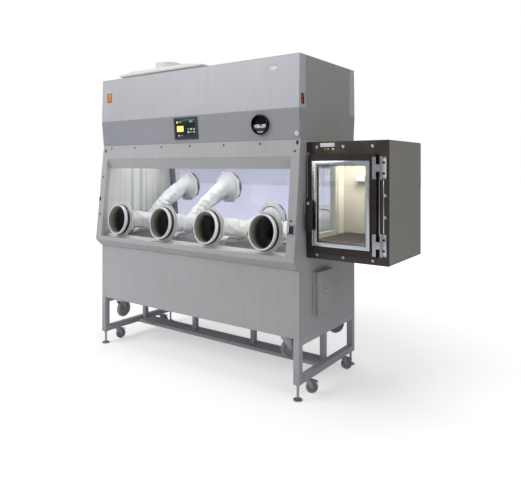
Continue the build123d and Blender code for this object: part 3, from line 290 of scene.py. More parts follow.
def group(name, build):
    """A node group with a position, a colour and settings in, and a colour, roughness and normal out."""
    made = bpy.data.node_groups.new(name, "ShaderNodeTree")
    for way, label, kind in (
            ("INPUT", "Vector", "Vector"), ("INPUT", "Color", "Color"), ("INPUT", "Roughness", "Float"),
            ("INPUT", "Amount", "Float"), ("INPUT", "Stretch", "Vector"), ("OUTPUT", "Color", "Color"),
            ("OUTPUT", "Roughness", "Float"), ("OUTPUT", "Normal", "Vector")):
        made.interface.new_socket(label, in_out=way, socket_type="NodeSocket" + kind)
    source = made.nodes.new("NodeGroupInput").outputs
    target = made.nodes.new("NodeGroupOutput").inputs
    for key, value in zip(("Color", "Roughness", "Normal"), build(made, source)):
        made.links.new(value, target[key])
    return made


def paint_skin(tree, source):
    """Sprayed paint: faint clouds and runs in the tone, orange peel in the surface."""
    clouds = noise(tree, source["Vector"], 2.4, 4.0)
    runs = noise(tree, stretched(tree, source["Vector"], (9.0, 9.0, 0.8)), 3.0, 2.0)
    tone = maths(tree, "ADD", maths(tree, "MULTIPLY", clouds, 0.6), maths(tree, "MULTIPLY", runs, 0.4))
    darker = node(tree, "HueSaturation", {"Color": source["Color"], "Value": 0.86}).outputs["Color"]
    lighter = node(tree, "HueSaturation", {"Color": source["Color"], "Value": 1.12}).outputs["Color"]
    spread = mixed(tree, ramp(tree, tone, 0.3, 0.7), darker, lighter)
    colour = mixed(tree, source["Amount"], source["Color"], spread)
    rough = maths(tree, "ADD", source["Roughness"], ramp(tree, clouds, 0.3, 0.7, -0.05, 0.07))
    peel = noise(tree, source["Vector"], 420.0, 2.0)
    slow = noise(tree, source["Vector"], 5.0, 1.0)
    normal = bumped(tree, peel, 0.05, 0.0006, bumped(tree, slow, 0.10, 0.004))
    return colour, rough, normal


def brushed_skin(tree, source):
    """Brushed metal: fine lines along one way, with faint handling marks."""
    lines = noise(tree, stretched(tree, source["Vector"], source["Stretch"]), 6.0, 5.0, 0.7)
    clouds = noise(tree, source["Vector"], 7.0, 4.0)
    darker = node(tree, "HueSaturation", {"Color": source["Color"], "Value": 0.72}).outputs["Color"]
    lighter = node(tree, "HueSaturation", {"Color": source["Color"], "Value": 1.25}).outputs["Color"]
    tone = maths(tree, "ADD", maths(tree, "MULTIPLY", lines, 0.65), maths(tree, "MULTIPLY", clouds, 0.35))
    spread = mixed(tree, ramp(tree, tone, 0.32, 0.68), darker, lighter)
    colour = mixed(tree, source["Amount"], source["Color"], spread)
    rough = maths(tree, "ADD", source["Roughness"], ramp(tree, clouds, 0.3, 0.7, -0.06, 0.1))
    return colour, rough, bumped(tree, lines, 0.12, 0.0004)


def moulded_skin(tree, source):
    """Moulded plastic and rubber: a faint grain, with slow unevenness and a trace of wear."""
    grain = noise(tree, stretched(tree, source["Vector"], source["Stretch"]), 160.0, 3.0)
    slow = noise(tree, source["Vector"], 14.0, 3.0)
    darker = node(tree, "HueSaturation", {"Color": source["Color"], "Value": 0.8}).outputs["Color"]
    colour = mixed(tree, maths(tree, "MULTIPLY", source["Amount"], ramp(tree, slow, 0.35, 0.7)),
                   source["Color"], darker)
    rough = maths(tree, "ADD", source["Roughness"], ramp(tree, slow, 0.3, 0.7, -0.04, 0.08))
    return colour, rough, bumped(tree, grain, 0.08, 0.0005, bumped(tree, slow, 0.08, 0.002))


paint_group = group("Paint skin", paint_skin)
brushed_group = group("Brushed skin", brushed_skin)
moulded_group = group("Moulded skin", moulded_skin)


def finish(name, skin, colour, roughness, metallic=0.0, amount=0.4, stretch=(1.0, 1.0, 1.0),
           coat=0.0, recolour=None):
    """A material from one of the skins. A recolour function can change the colour by position."""
    made, tree, shader, where = blank(name)
    if recolour is not None:
        colour = recolour(tree, where, colour)
    surface = node(tree, "Group", {"Vector": where, "Color": colour, "Roughness": roughness,
                                   "Amount": amount, "Stretch": stretch}, node_tree=skin).outputs
    feed(tree, shader, {"Base Color": surface["Color"], "Roughness": surface["Roughness"],
                        "Normal": surface["Normal"], "Metallic": metallic, "Coat Weight": coat,
                        "Coat Roughness": 0.12})
    return made


def paint(name, colour, roughness=0.42, **settings):
    """Satin powder paint."""
    return finish(name, paint_group, colour, roughness, **settings)


def metal(name, colour, roughness=0.32, stretch=(1.0, 1.0, 30.0), **settings):
    """Brushed or polished metal."""
    return finish(name, brushed_group, colour, roughness, metallic=1.0, stretch=stretch, **settings)


def plastic(name, colour, roughness=0.4, **settings):
    """Moulded plastic or rubber."""
    return finish(name, moulded_group, colour, roughness, **settings)


def glowing(name, colour, strength):
    """A lit face with a faint pattern in its brightness."""
    made = plastic(name, colour, 0.3)
    tree = made.node_tree
    shader = tree.nodes["Principled BSDF"]
    where = node(tree, "TexCoord").outputs["Object"]
    lit = ramp(tree, noise(tree, where, 30.0), 0.3, 0.7, strength * 0.9, strength)
    feed(tree, shader, {"Emission Color": colour, "Emission Strength": lit})
    return made


def glass(name, tint, roughness=0.02, far_tint_and_light=None):
    """Clear glazing that lets shadow and soft light rays straight through."""
    made, tree, shader, where = blank(name)
    smear = noise(tree, stretched(tree, where, (3.0, 3.0, 1.0)), 4.0, 3.0)
    colour = tint
    # The far pane's colour is its tint with painted light across it.
    if far_tint_and_light is not None:
        far = ramp(tree, axes(tree, where)["Y"], -0.05, 0.05)
        colour = mixed(tree, far, tint, far_tint_and_light(tree, where))
    rough = ramp(tree, smear, 0.35, 0.75, roughness, roughness + 0.015)
    feed(tree, shader, {"Base Color": colour, "Metallic": 0.0, "Transmission Weight": 1.0, "IOR": 1.45,
                        "Roughness": rough})
    path = node(tree, "LightPath").outputs
    through = maths(tree, "MAXIMUM", path["Is Shadow Ray"], path["Is Diffuse Ray"])
    clear = node(tree, "BsdfTransparent", {"Color": colour})
    both = node(tree, "MixShader", {0: through, 1: shader.outputs["BSDF"], 2: clear.outputs["BSDF"]})
    feed(tree, tree.nodes["Material Output"], {"Surface": both.outputs["Shader"]})
    return made


# Colours that change by position on a solid
def darker_near_floor(tree, where, colour):
    """Stand paint, a little darker towards the floor."""
    low = ramp(tree, axes(tree, where)["Z"], 0.05, 0.5, 0.75, 1.0)
    return node(tree, "HueSaturation", {"Color": colour, "Value": low}).outputs["Color"]


def apron_painted_light(tree, where, colour):
    """Apron paint with painted light: it fades from lighter at its left end to darker at its right."""
    across = ramp(tree, axes(tree, where)["X"], -1.15, 0.65, 1.06, 0.9)
    return node(tree, "HueSaturation", {"Color": colour, "Value": across}).outputs["Color"]


def fascia_painted_shade(tree, where, colour):
    """Fascia paint: the band below the bend faces downwards and is painted darker and bluer, as shade."""
    low = between(tree, axes(tree, where)["Z"], 1.50, band_bend_z, 0.003)
    return mixed(tree, low, colour, screen(164, 166, 173))


def rear_tint_painted_light(tree, where):
    """The rear pane's lavender tint, paler towards the middle and darker towards the top; the changes across
    and up are painted light.
    """
    across = ramp(tree, axes(tree, where)["X"], -0.9, 0.7)
    up = ramp(tree, axes(tree, where)["Z"], 0.9, 1.45)
    low = mixed(tree, across, screen(196, 196, 214), screen(214, 212, 234))
    return mixed(tree, up, low, screen(176, 176, 204))


def lock_wall(tree, where, colour):
    """The airlock's box: dark gasket band behind the front plate, a pale band behind that as a painted
    highlight on the shell's front edge, then plain steel.
    """
    depth = axes(tree, where)["Y"]
    band = between(tree, depth, plate_y + 0.0065, plate_y + 0.014)
    # Painted highlight: a pale band where the shell's front edge catches the light.
    edge = between(tree, depth, plate_y + 0.014, plate_y + 0.0175)
    seamed = mixed(tree, band, colour, screen(28, 27, 27))
    return mixed(tree, edge, seamed, screen(214, 214, 210))


def liner_tone(tree, where, colour):
    """Chamber steel: lit nearly white, with upright reflections on its left wall."""
    lines = noise(tree, stretched(tree, where, (1.0, 14.0, 0.15)), 2.2, 2.0)
    left = ramp(tree, axes(tree, where)["X"], left_wall_x + 0.02, left_wall_x + 0.05, 1.0, 0.0)
    strip = maths(tree, "MULTIPLY", left, ramp(tree, lines, 0.56, 0.66))
    return mixed(tree, maths(tree, "MULTIPLY", strip, 0.55), colour, screen(120, 126, 118))


paints = {
    "painted_frame": paint("Stand paint", screen(190, 189, 196), 0.45, recolour=darker_near_floor),
    "body_paint": paint("Body paint", screen(188, 187, 190), 0.44, recolour=apron_painted_light),
    "fascia_paint": paint("Fascia paint", screen(196, 198, 204), 0.38, recolour=fascia_painted_shade),
    "foot_steel": metal("Foot steel", screen(190, 190, 194), 0.22, coat=0.1),
    "caster_steel": metal("Caster steel", screen(176, 176, 180), 0.3, (8.0, 8.0, 8.0)),
    "caster_tyre": plastic("Caster tyre", screen(150, 150, 152), 0.55),
    "clear_glass": glass("Clear glass", screen(248, 250, 250), 0.01, rear_tint_painted_light),
    "clear_plastic": glass("Clear plastic", screen(244, 246, 246), 0.02),
    "stainless": finish("Chamber steel", brushed_group, screen(236, 236, 232), 0.38, metallic=0.35,
                        stretch=(1.0, 1.0, 24.0), amount=0.2, recolour=liner_tone),
    "white_plastic": plastic("Port plastic", screen(236, 237, 240), 0.32, coat=0.2),
    "clamp_steel": metal("Clamp steel", screen(70, 60, 54), 0.4, (4.0, 4.0, 4.0)),
    "white_glove": plastic("Glove rubber", screen(232, 233, 236), 0.46, coat=0.1),
    "display_plastic": plastic("Display frame", screen(66, 70, 80), 0.35, coat=0.3),
    "gauge_metal": metal("Gauge case", screen(24, 23, 24), 0.35, (3.0, 3.0, 3.0), coat=0.4),
    "pointer_black": paint("Pointer paint", screen(18, 18, 18), 0.5),
    "black_plastic": plastic("Black plastic", screen(26, 26, 27), 0.42),
    "rocker_orange": plastic("Rocker plastic", screen(226, 84, 34), 0.3, coat=0.4),
    "lamp_cover": glowing("Lamp cover", screen(255, 252, 240), 1.6),
    "filter_frame": metal("Filter frame", screen(200, 200, 200), 0.4),
    "blower_steel": paint("Blower paint", screen(120, 122, 126), 0.5),
    "airlock_steel": finish("Airlock steel", brushed_group, screen(160, 158, 150), 0.42, metallic=0.3,
                            stretch=(1.0, 1.0, 26.0), recolour=lock_wall),
    "grate_steel": metal("Grate steel", screen(96, 84, 74), 0.42, (1.0, 20.0, 1.0)),
    "door_steel": metal("Door steel", screen(74, 68, 64), 0.36, (1.0, 1.0, 26.0), amount=0.6),
    "hinge_metal": metal("Hinge metal", screen(216, 218, 222), 0.2, (6.0, 6.0, 1.0)),
    "chrome": metal("Bright chrome", screen(214, 215, 218), 0.12, (3.0, 3.0, 3.0), amount=0.15),
}
# Dark finish for seals, the lock body and strips; also the painted shade in the frame's slots.
dark_finish_and_slot_shade = plastic("Dark finish and slot shade", screen(24, 24, 24), 0.6)
screw_dark = metal("Dark screw", screen(60, 58, 60), 0.35, (3.0, 3.0, 3.0))
screw_bright = metal("Bright screw", screen(220, 220, 222), 0.2, (3.0, 3.0, 3.0))
white_label = plastic("Bare label", screen(236, 236, 238), 0.45)
amber_label = plastic("Amber plate", screen(222, 140, 44), 0.4)
label_edge = plastic("Label edge", screen(66, 44, 30), 0.5)
pale_metal = metal("Pale metal", screen(232, 234, 238), 0.28, (1.0, 1.0, 20.0), amount=0.2)
lock_grey = paint("Lock grey", screen(152, 150, 172), 0.4)
bar_pale = paint("Pale bar", screen(224, 226, 230), 0.35)
housing_paint = paint("Housing paint", screen(170, 168, 164), 0.42)
hood_paint = paint("Hood paint", screen(226, 227, 226), 0.45)
plate_steel = metal("Front plate steel", screen(88, 82, 78), 0.34, (1.0, 1.0, 30.0), amount=0.6)
trim_steel = metal("Door trim steel", screen(220, 226, 232), 0.24, (1.0, 1.0, 16.0), amount=0.25)
tray_steel = metal("Tray steel", screen(150, 148, 146), 0.35, (24.0, 1.0, 1.0), amount=0.5)

# Nodes whose finish differs from the rest of their slot
own_finish = {"housing_shell": housing_paint, "exhaust_hood": hood_paint,
              "airlock_front_plate": plate_steel, "work_tray": tray_steel}
slot_of = {part["node"]: part["material_slot"] for part in frame["record"]["subparts"]}
for name, solid in nodes.items():
    solid.data.materials.clear()
    solid.data.materials.append(own_finish.get(name, paints[slot_of[name]]))


# Gauntlets: a rubber sleeve rolled over each collar, and a hand lying on the work tray
collar_rx = 0.097
collar_ry = 0.108
collar_wall = 0.004
mouth_depth = -0.008
throat_depth = 0.068
cuff_depth = 0.020
rubber = 0.0025
snug = 0.0003
lining_pale_to = 0.020
lining_shade_from = 0.085
around = 56
ring_pitch = 0.007
crease_height = 0.010
fold_height = 0.0035
folds_per_metre = 150

glove_white = plastic("Glove rubber face", screen(236, 237, 240), 0.5, coat=0.1, amount=0.25)


def lining_painted_shade(tree, where, colour):
    """The lining is grey-beige at the cuff's mouth; inside the throat it turns dark, which is painted shade.
    """
    parts = axes(tree, where)
    out = maths(tree, "ADD", maths(tree, "MULTIPLY", maths(tree, "ABSOLUTE", parts["Y"]), cos(lean)),
                maths(tree, "MULTIPLY", parts["Z"], sin(lean)))
    face = frame_top_y * cos(lean) + frame_top_z * sin(lean)
    depth = maths(tree, "SUBTRACT", face, out)
    uneven = maths(tree, "MULTIPLY", noise(tree, where, 26.0), 0.03)
    fade = ramp(tree, maths(tree, "ADD", depth, uneven), lining_pale_to, lining_shade_from)
    return mixed(tree, fade, colour, screen(58, 56, 56))


glove_lining = plastic("Glove lining", screen(186, 180, 168), 0.6, recolour=lining_painted_shade)


def route_rings(start, points, sizes):
    """Evenly spaced rings along a smooth curve through the sleeve's points."""
    path = [start] + points
    rings = []
    for i in range(len(path) - 1):
        p0 = path[max(i - 1, 0)]
        p1, p2 = path[i], path[i + 1]
        p3 = path[min(i + 2, len(path) - 1)]
        count = max(3, int((p2 - p1).length / ring_pitch))
        for k in range(count + (1 if i == len(path) - 2 else 0)):
            t = k / count
            place = 0.5 * (2 * p1 + (p2 - p0) * t + (2 * p0 - 5 * p1 + 4 * p2 - p3) * t * t
                           + (3 * p1 - p0 - 3 * p2 + p3) * t * t * t)
            ease = t * t * (3 - 2 * t)
            rx = sizes[i][0] + (sizes[i + 1][0] - sizes[i][0]) * ease
            ry = sizes[i][1] + (sizes[i + 1][1] - sizes[i][1]) * ease
            rings.append((place, rx, ry))
    return rings


def sleeve_piece(name, side, x, z, points, sizes, seed, pinch=0.0):
    """One sleeve as a closed sheet of rubber, from its cuff to inside the hand's wrist."""
    in_rx, in_ry = collar_rx - collar_wall - snug, collar_ry - collar_wall - snug
    out_rx, out_ry = collar_rx + snug + rubber, collar_ry + snug + rubber
    flat = window_face(side, x, z)

    def face_ring(depth, rx, ry, sag=0.0):
        ring = []
        for k in range(around):
            angle = 2 * pi * k / around
            drop = sag * max(0.0, sin(angle)) ** 3 * abs(cos(angle * 1.5 + pi / 4))
            ring.append(flat @ Vector((rx * cos(angle), (ry - drop) * sin(angle), -depth)))
        return ring

    start = flat @ Vector((0, 0, -throat_depth))
    rings = route_rings(start, points, [(in_rx, in_ry)] + sizes)
    right = flat.to_3x3() @ Vector((1, 0, 0))
    outer, inner = [], []
    travelled = 0.0
    for i, (place, rx, ry) in enumerate(rings):
        before = rings[max(i - 1, 0)][0]
        after = rings[min(i + 1, len(rings) - 1)][0]
        travelled += (place - before).length
        along = (after - before).normalized()
        if i == 0:
            along = (flat.to_3x3() @ Vector((0, 0, -1))).normalized()
        across = (right - along * right.dot(along)).normalized()
        up = across.cross(along).normalized()
        if up.z < 0 and side * up.y < 0:
            up = -up
        grown = min(1.0, travelled / 0.06)
        row_out, row_in = [], []
        for k in range(around):
            angle = 2 * pi * k / around
            spot = Vector((cos(angle), sin(angle), travelled * 9 + seed * 5.3))
            folds = sin(travelled * folds_per_metre + 1.8 * sin(angle * 2 + seed) + seed * 2)
            uneven = 0.5 + ripple(spot * 0.9 + Vector((7, 3, 1)))
            crease = ripple(spot * 1.7) * crease_height + folds * fold_height * uneven
            swell = 1 + grown * crease / max(rx, 0.03)
            offset = across * (rx * cos(angle) * swell) + up * (ry * sin(angle) * swell)
            row_out.append(place + offset)
            row_in.append(place + offset * (1 - rubber / rx))
        outer.append(row_out)
        inner.append(row_in)

    rows = list(reversed(outer[1:]))
    for k in range(5):
        rows.append(face_ring(throat_depth + (mouth_depth - throat_depth) * k / 4, in_rx, in_ry))
    for depth in (mouth_depth - 0.0002, cuff_depth):
        rows.append(face_ring(depth, out_rx - rubber, out_ry - rubber))
    for depth, grow in ((cuff_depth + 0.0012, -0.0012), (cuff_depth, 0.0), (0.010, 0.0003),
                        (0.0, 0.0), (mouth_depth + 0.003, 0.0002), (mouth_depth, 0.0)):
        rows.append(face_ring(depth, out_rx + grow, out_ry + grow))
    lip_in = in_rx - rubber
    half = (out_rx - lip_in) / 2
    for k in range(1, 8):
        turn = pi * k / 8
        shrink = half - half * cos(turn)
        rows.append(face_ring(mouth_depth - rubber * sin(turn), out_rx - shrink, out_ry - shrink))
    lining_row = len(rows)
    for k in range(9):
        deep = mouth_depth + (throat_depth - mouth_depth) * k / 8
        rows.append(face_ring(deep, in_rx - rubber, in_ry - rubber, pinch * k / 8))
    rows += inner[1:]

    mesh = bpy.data.meshes.new(name)
    build = bmesh.new()
    made = [[build.verts.new(p) for p in row] for row in rows]
    for i in range(len(made) - 1):
        for k in range(around):
            face = build.faces.new((made[i][k], made[i][(k + 1) % around],
                                    made[i + 1][(k + 1) % around], made[i + 1][k]))
            face.material_index = int(i + 1 >= lining_row)
            face.smooth = True
    for k in range(around):
        face = build.faces.new((made[-1][k], made[-1][(k + 1) % around],
                                made[0][(k + 1) % around], made[0][k]))
        face.smooth = True
    bmesh.ops.recalc_face_normals(build, faces=build.faces)
    build.to_mesh(mesh)
    build.free()
    mesh.materials.append(glove_white)
    mesh.materials.append(glove_lining)
    return added(name, mesh)


# Hands: sizes shared by all eight
finger_rest_z = 0.8545
thumb_rest_z = 0.8560
ball_pitch = 0.006
skin_pitch = 0.0028
palm_half = 0.030
knuckle_lane = 0.029
fingers = ((-1.0, 0.062, 0.0105), (-0.33, 0.080, 0.0115), (0.33, 0.084, 0.0118), (1.0, 0.074, 0.0112))
ball = bmesh.new()
bmesh.ops.create_icosphere(ball, subdivisions=2, radius=1.0)
ball_corners = [v.co.copy() for v in ball.verts]
ball_faces = [tuple(v.index for v in face.verts) for face in ball.faces]
ball.free()


def hand_piece(name, wrist, palm, tip, thumb_side, seed, curl=0.0):
    """A gloved hand with fingers and thumb, from balls along each finger fused into one skin."""
    ahead = (tip - palm).normalized()
    flat_ahead = Vector((ahead.x, ahead.y, 0)).normalized()
    aside = Vector((0, 0, 1)).cross(flat_ahead) * thumb_side
    spots, faces = [], []

    def balls(points, radii):
        for (a, b), (ra, rb) in zip(zip(points, points[1:]), zip(radii, radii[1:])):
            steps = max(2, int((b - a).length / ball_pitch))
            for k in range(steps + 1):
                t = k / steps
                centre, radius, first = a.lerp(b, t), ra + (rb - ra) * t, len(spots)
                spots.extend(centre + corner * radius for corner in ball_corners)
                faces.extend(tuple(first + i for i in face) for face in ball_faces)

    knuckles = palm + flat_ahead * palm_half
    back = palm - flat_ahead * palm_half
    balls([wrist, back.lerp(wrist, 0.4)], [0.0405, 0.036])
    for lane, width in ((-1.0, 0.020), (-0.35, 0.023), (0.35, 0.023), (1.0, 0.020)):
        heel = back.lerp(wrist, 0.45) + aside * 0.016 * lane
        root = knuckles + aside * knuckle_lane * lane
        balls([heel, palm + aside * 0.024 * lane, root], [0.028, width, 0.0155])
    for lane, length, radius in fingers:
        lift = 0.006 * sin(seed * 3.1 + lane * 2.3)
        root = knuckles + aside * knuckle_lane * lane
        fan = (flat_ahead + aside * 0.16 * lane).normalized()
        joint = root + fan * length * 0.48 + Vector((0, 0, 0.004 + lift - curl * 0.2))
        end = joint + fan * length * 0.50 + Vector((0, 0, -0.016 + lift * 0.3 - curl * 0.4))
        end.z = max(end.z, finger_rest_z)
        balls([root, joint, end], [0.0150, radius * 1.08, radius * 0.86])
    thumb_root = back + aside * 0.034
    thumb_mid = thumb_root + aside * 0.024 + flat_ahead * 0.034 + Vector((0, 0, -0.006))
    thumb_end = thumb_mid + aside * 0.008 + flat_ahead * 0.036 + Vector((0, 0, -0.006))
    thumb_end.z = max(thumb_end.z, thumb_rest_z)
    balls([thumb_root, thumb_mid, thumb_end], [0.019, 0.0150, 0.0118])
    mesh = bpy.data.meshes.new(name)
    mesh.from_pydata(spots, [], faces)
    mesh.update()
    piece = added(name, mesh)
    add_modifier(piece, "REMESH", mode="VOXEL", voxel_size=skin_pitch)
    add_modifier(piece, "SMOOTH", factor=0.6, iterations=7)
    mesh = piece.data
    for vertex in mesh.vertices:
        wave = ripple(vertex.co * 42 + Vector((seed, 0, 0))) * 0.0012
        vertex.co += vertex.normal * wave
    mesh.materials.clear()
    mesh.materials.append(glove_white)
    alone(piece)
    bpy.ops.object.shade_smooth()
    return piece


wrist_size = (0.042, 0.042)
front_route = (
    ((0.012, -0.300, 0.978), (0.064, 0.066)), ((0.040, -0.180, 0.962), (0.058, 0.060)),
    ((0.070, -0.060, 0.938), (0.052, 0.054)), ((0.088, 0.020, 0.905), wrist_size),
    ((0.098, 0.075, 0.878), None), ((0.108, 0.140, 0.862), None))
high_route = (
    ((-0.007, 0.270, 1.195), (0.064, 0.066)), ((-0.050, 0.150, 1.100), (0.057, 0.060)),
    ((-0.090, 0.040, 0.985), (0.050, 0.054)), ((-0.115, -0.030, 0.905), wrist_size),
    ((-0.125, -0.070, 0.878), None), ((-0.133, -0.130, 0.862), None))
low_route = (
    ((-0.002, 0.300, 0.975), (0.064, 0.066)), ((-0.012, 0.190, 0.950), (0.056, 0.060)),
    ((-0.025, 0.080, 0.915), (0.050, 0.054)), ((-0.045, 0.005, 0.888), wrist_size),
    ((-0.060, -0.045, 0.878), None), ((-0.080, -0.105, 0.862), None))
port_sets = ((-1, "front", (port_low,) * 4, (front_route,) * 4),
             (1, "back", (port_high, port_high, port_low, port_low),
              (high_route, high_route, low_route, low_route)))
for side, side_name, heights, routes in port_sets:
    made = []
    for number, (x, z, route) in enumerate(zip(port_x, heights, routes)):
        seed = number * 1.7 + (side + 1) * 3.3
        places = [Vector((mid + x + dx, y, height)) for (dx, y, height), _ in route]
        sizes = [size for _, size in route if size is not None]
        sizes.append((0.036, 0.034))
        ending = places[:4] + [places[3].lerp(places[4], 0.35)]
        sleeve = sleeve_piece("sleeve", side, x, z, ending, sizes, seed,
                              0.035 if side < 0 and number == 2 else 0.006)
        hand = hand_piece("hand", places[3], places[4], places[5],
                          1 if side < 0 else -1, seed, 0.004 * (number % 2))
        made += [sleeve, hand]
    gloves = join(made, "gauntlets_" + side_name + "_rubber")
    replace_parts(ride(gloves, "cabinet"), "gauntlets_" + side_name)


# Fittings on the front fascia
def label_plate(name, width, height, place, face, rim=None):
    """A small bare plate with an optional dark border under it."""
    top = plate(name, (width, height, 0.0008), (0, 0, 0.0007 if rim else 0.0004), face, 0.0002, place)
    if rim:
        under = plate(name + "_edge", (width + 0.008, height + 0.008, 0.0005), (0, 0, 0.00025), rim,
                      0.0002, place)
        top = join([top, under], name)
    return top


def screw(name, radius, place, material, slot_turn=0.4, thick=0.0022):
    """A low domed screw head with a cross recess."""
    head = disc(name, radius, thick, (0, 0, thick / 2), material, radius * 0.25, None, 24)
    for turn in (slot_turn, slot_turn + pi / 2):
        cut = plate("recess", (radius * 1.1, radius * 0.24, thick), (0, 0, 0), dark_finish_and_slot_shade, 0,
                    Matrix.Translation((0, 0, thick * 1.02)) @ Matrix.Rotation(turn, 4, "Z"))
        add_boolean(head, cut)
    return settle(head, place)


amber = label_plate("amber_plate", 0.046, 0.062, band_face(-1, -0.815, 1.908), amber_label, label_edge)
ride(amber, "cabinet")
small_label = label_plate("small_label", 0.050, 0.022, band_face(-1, 0.720, 1.974), white_label)
ride(small_label, "cabinet")


def square_line(name, width, height, line, place, material):
    """A thin square outline."""
    sides_made = []
    for w, h, cx, cy in ((width, line, 0, height / 2), (width, line, 0, -height / 2),
                         (line, height, width / 2, 0), (line, height, -width / 2, 0)):
        sides_made.append(plate(name, (w, h, 0.0004), (cx, cy, 0.0002), material, 0.0001, place))
    return join(sides_made, name)


fine_line = paint("Outline", screen(170, 171, 176), 0.4)
ride(square_line("label_outline", 0.082, 0.066, 0.0016, band_face(-1, 0.702, 1.962), fine_line),
     "cabinet")

# Display: a dark screen with lit readouts, and its keys
screen_dark = plastic("Screen black", screen(20, 22, 28), 0.15, coat=0.5)
lit_yellow = glowing("Lit yellow", screen(240, 226, 120), 0.7)
lit_green = glowing("Lit green", screen(70, 190, 110), 0.6)
key_white = plastic("White key", screen(226, 232, 226), 0.4)
key_green = plastic("Green key", screen(90, 170, 120), 0.4)
display_x = -0.008
display_z = 1.641
display_out = 0.009


def on_display(u, v, lift=0.0):
    """A place on the display's face, from its centre."""
    return band_face(-1, display_x, display_z) @ Matrix.Translation((u, v, display_out + lift))


parts_made = [plate("display_face", (0.186, 0.122, 0.0012), (0, 0, 0.0006), screen_dark, 0.0004,
                    on_display(0, 0))]
for u, v, w, h, finish_made in (
        (-0.070, 0.044, 0.014, 0.014, lit_yellow), (-0.040, 0.046, 0.022, 0.008, lit_green),
        (-0.045, -0.002, 0.062, 0.040, lit_yellow), (0.058, 0.046, 0.030, 0.010, lit_green),
        (0.030, -0.006, 0.018, 0.012, key_green), (0.056, -0.006, 0.018, 0.012, key_white),
        (0.082, -0.006, 0.014, 0.012, key_white), (0.030, -0.026, 0.018, 0.012, key_white),
        (0.056, -0.026, 0.018, 0.012, key_green), (0.082, -0.026, 0.014, 0.012, key_white),
        (-0.060, -0.048, 0.016, 0.010, key_white), (-0.030, -0.048, 0.016, 0.010, key_green)):
    parts_made.append(plate("display_key", (w, h, 0.0014), (0, 0, 0.0007), finish_made, 0.0004,
                            on_display(u, v, 0.0010)))
ride(join(parts_made, "display_screen"), "cabinet")

# Gauge: a dial with scale marks, set back behind its case's rim
dial_white = plastic("Dial white", screen(238, 238, 234), 0.4)
dial_brown = plastic("Dial brown", screen(52, 36, 30), 0.45)
mark_black = plastic("Dial mark", screen(28, 26, 26), 0.5)
case_low, case_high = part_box("gauge_case")
gauge_turn = wall_face((case_low.x + case_high.x) / 2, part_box("gauge_pointer")[1].y,
                       (case_low.z + case_high.z) / 2)
scale_start = -20
scale_sweep = 220
scale_marks = 30
marks_per_figure = 5
scale_radius = 0.0455
figure_radius = 0.0305
print_depth = -0.0016
dial_parts = [disc("dial", 0.0505, 0.0010, (0, 0, -0.0022), dial_white, 0.0002, gauge_turn)]
for k in range(scale_marks + 1):
    angle = radians(scale_start + k * scale_sweep / scale_marks)
    length, width = (0.0085, 0.0012) if k % marks_per_figure == 0 else (0.0050, 0.0007)
    at = (gauge_turn @ Matrix.Rotation(angle, 4, "Z")
          @ Matrix.Translation((scale_radius - length / 2, 0, print_depth)))
    dial_parts.append(plate("mark", (length, width, 0.0003), (0, 0, 0), mark_black, 0, at))
for k in range(scale_marks // marks_per_figure + 1):
    angle = radians(scale_start + k * scale_sweep * marks_per_figure / scale_marks)
    at = (gauge_turn @ Matrix.Rotation(angle, 4, "Z") @ Matrix.Translation((figure_radius, 0, print_depth))
          @ Matrix.Rotation(-angle, 4, "Z"))
    dial_parts.append(plate("figure", (0.0052, 0.0050, 0.0003), (0, 0, 0), mark_black, 0, at))
    dial_parts.append(plate("figure_gap", (0.0020, 0.0026, 0.0004), (0, 0, 0.0001), dial_white, 0, at))
dial_parts.append(plate("dial_low", (0.084, 0.022, 0.0004), (0, -0.030, -0.0015), dial_brown, 0.0002,
                        gauge_turn))
ride(join(dial_parts, "gauge_dial"), "cabinet")

# Screws and marks on the window frame
frame_bits = []
for x, z in ((-0.800, 1.519), (-0.535, 1.519), (-0.255, 1.519), (0.020, 1.519), (0.320, 1.519),
             (0.610, 1.519), (0.866, 1.470), (0.866, 1.060), (-0.873, 1.010), (-0.873, 1.300)):
    for side in (-1, 1):
        frame_bits.append(screw("frame_screw", 0.0065, window_face(side, x, z), screw_dark, x * 9))
# Painted shade: dark ovals stand for the shade inside the frame's oval slots.
for x, z in ((0.880, 1.522), (-0.868, 1.500)):
    place = window_face(-1, x, z) @ Matrix.Diagonal((0.8, 1.5, 1, 1))
    frame_bits.append(disc("frame_slot_shade", 0.0095, 0.0016, (0, 0, 0.0008), dark_finish_and_slot_shade, 0.0004, place))
frame_bits.append(plate("frame_catch", (0.016, 0.028, 0.004), (0, 0, 0.002), dark_finish_and_slot_shade, 0.001,
                        window_face(-1, -0.888, 1.130)))
ride(join(frame_bits, "frame_fasteners"), "cabinet")

# Lock on the window frame's right post, and the round button above it
lock_at = window_face(-1, 0.868, 1.010)
lock_bits = [plate("lock_plate", (0.046, 0.062, 0.003), (0, 0, 0.0015), lock_grey, 0.0008, lock_at),
             plate("lock_body", (0.030, 0.046, 0.008), (0.002, 0, 0.007), dark_finish_and_slot_shade, 0.002, lock_at),
             plate("lock_bar", (0.007, 0.040, 0.004), (-0.010, 0.002, 0.0125), bar_pale, 0.001, lock_at)]
ride(join(lock_bits, "window_lock"), "cabinet")
button_at = band_face(-1, 0.880, 1.575)
button_bits = [plate("button_plate", (0.040, 0.040, 0.0012), (0, 0, 0.0006), lock_grey, 0.0004, button_at),
               disc("button", 0.0155, 0.006, (0, 0, 0.0036), bar_pale, 0.0012, button_at)]
ride(join(button_bits, "fascia_lock"), "cabinet")

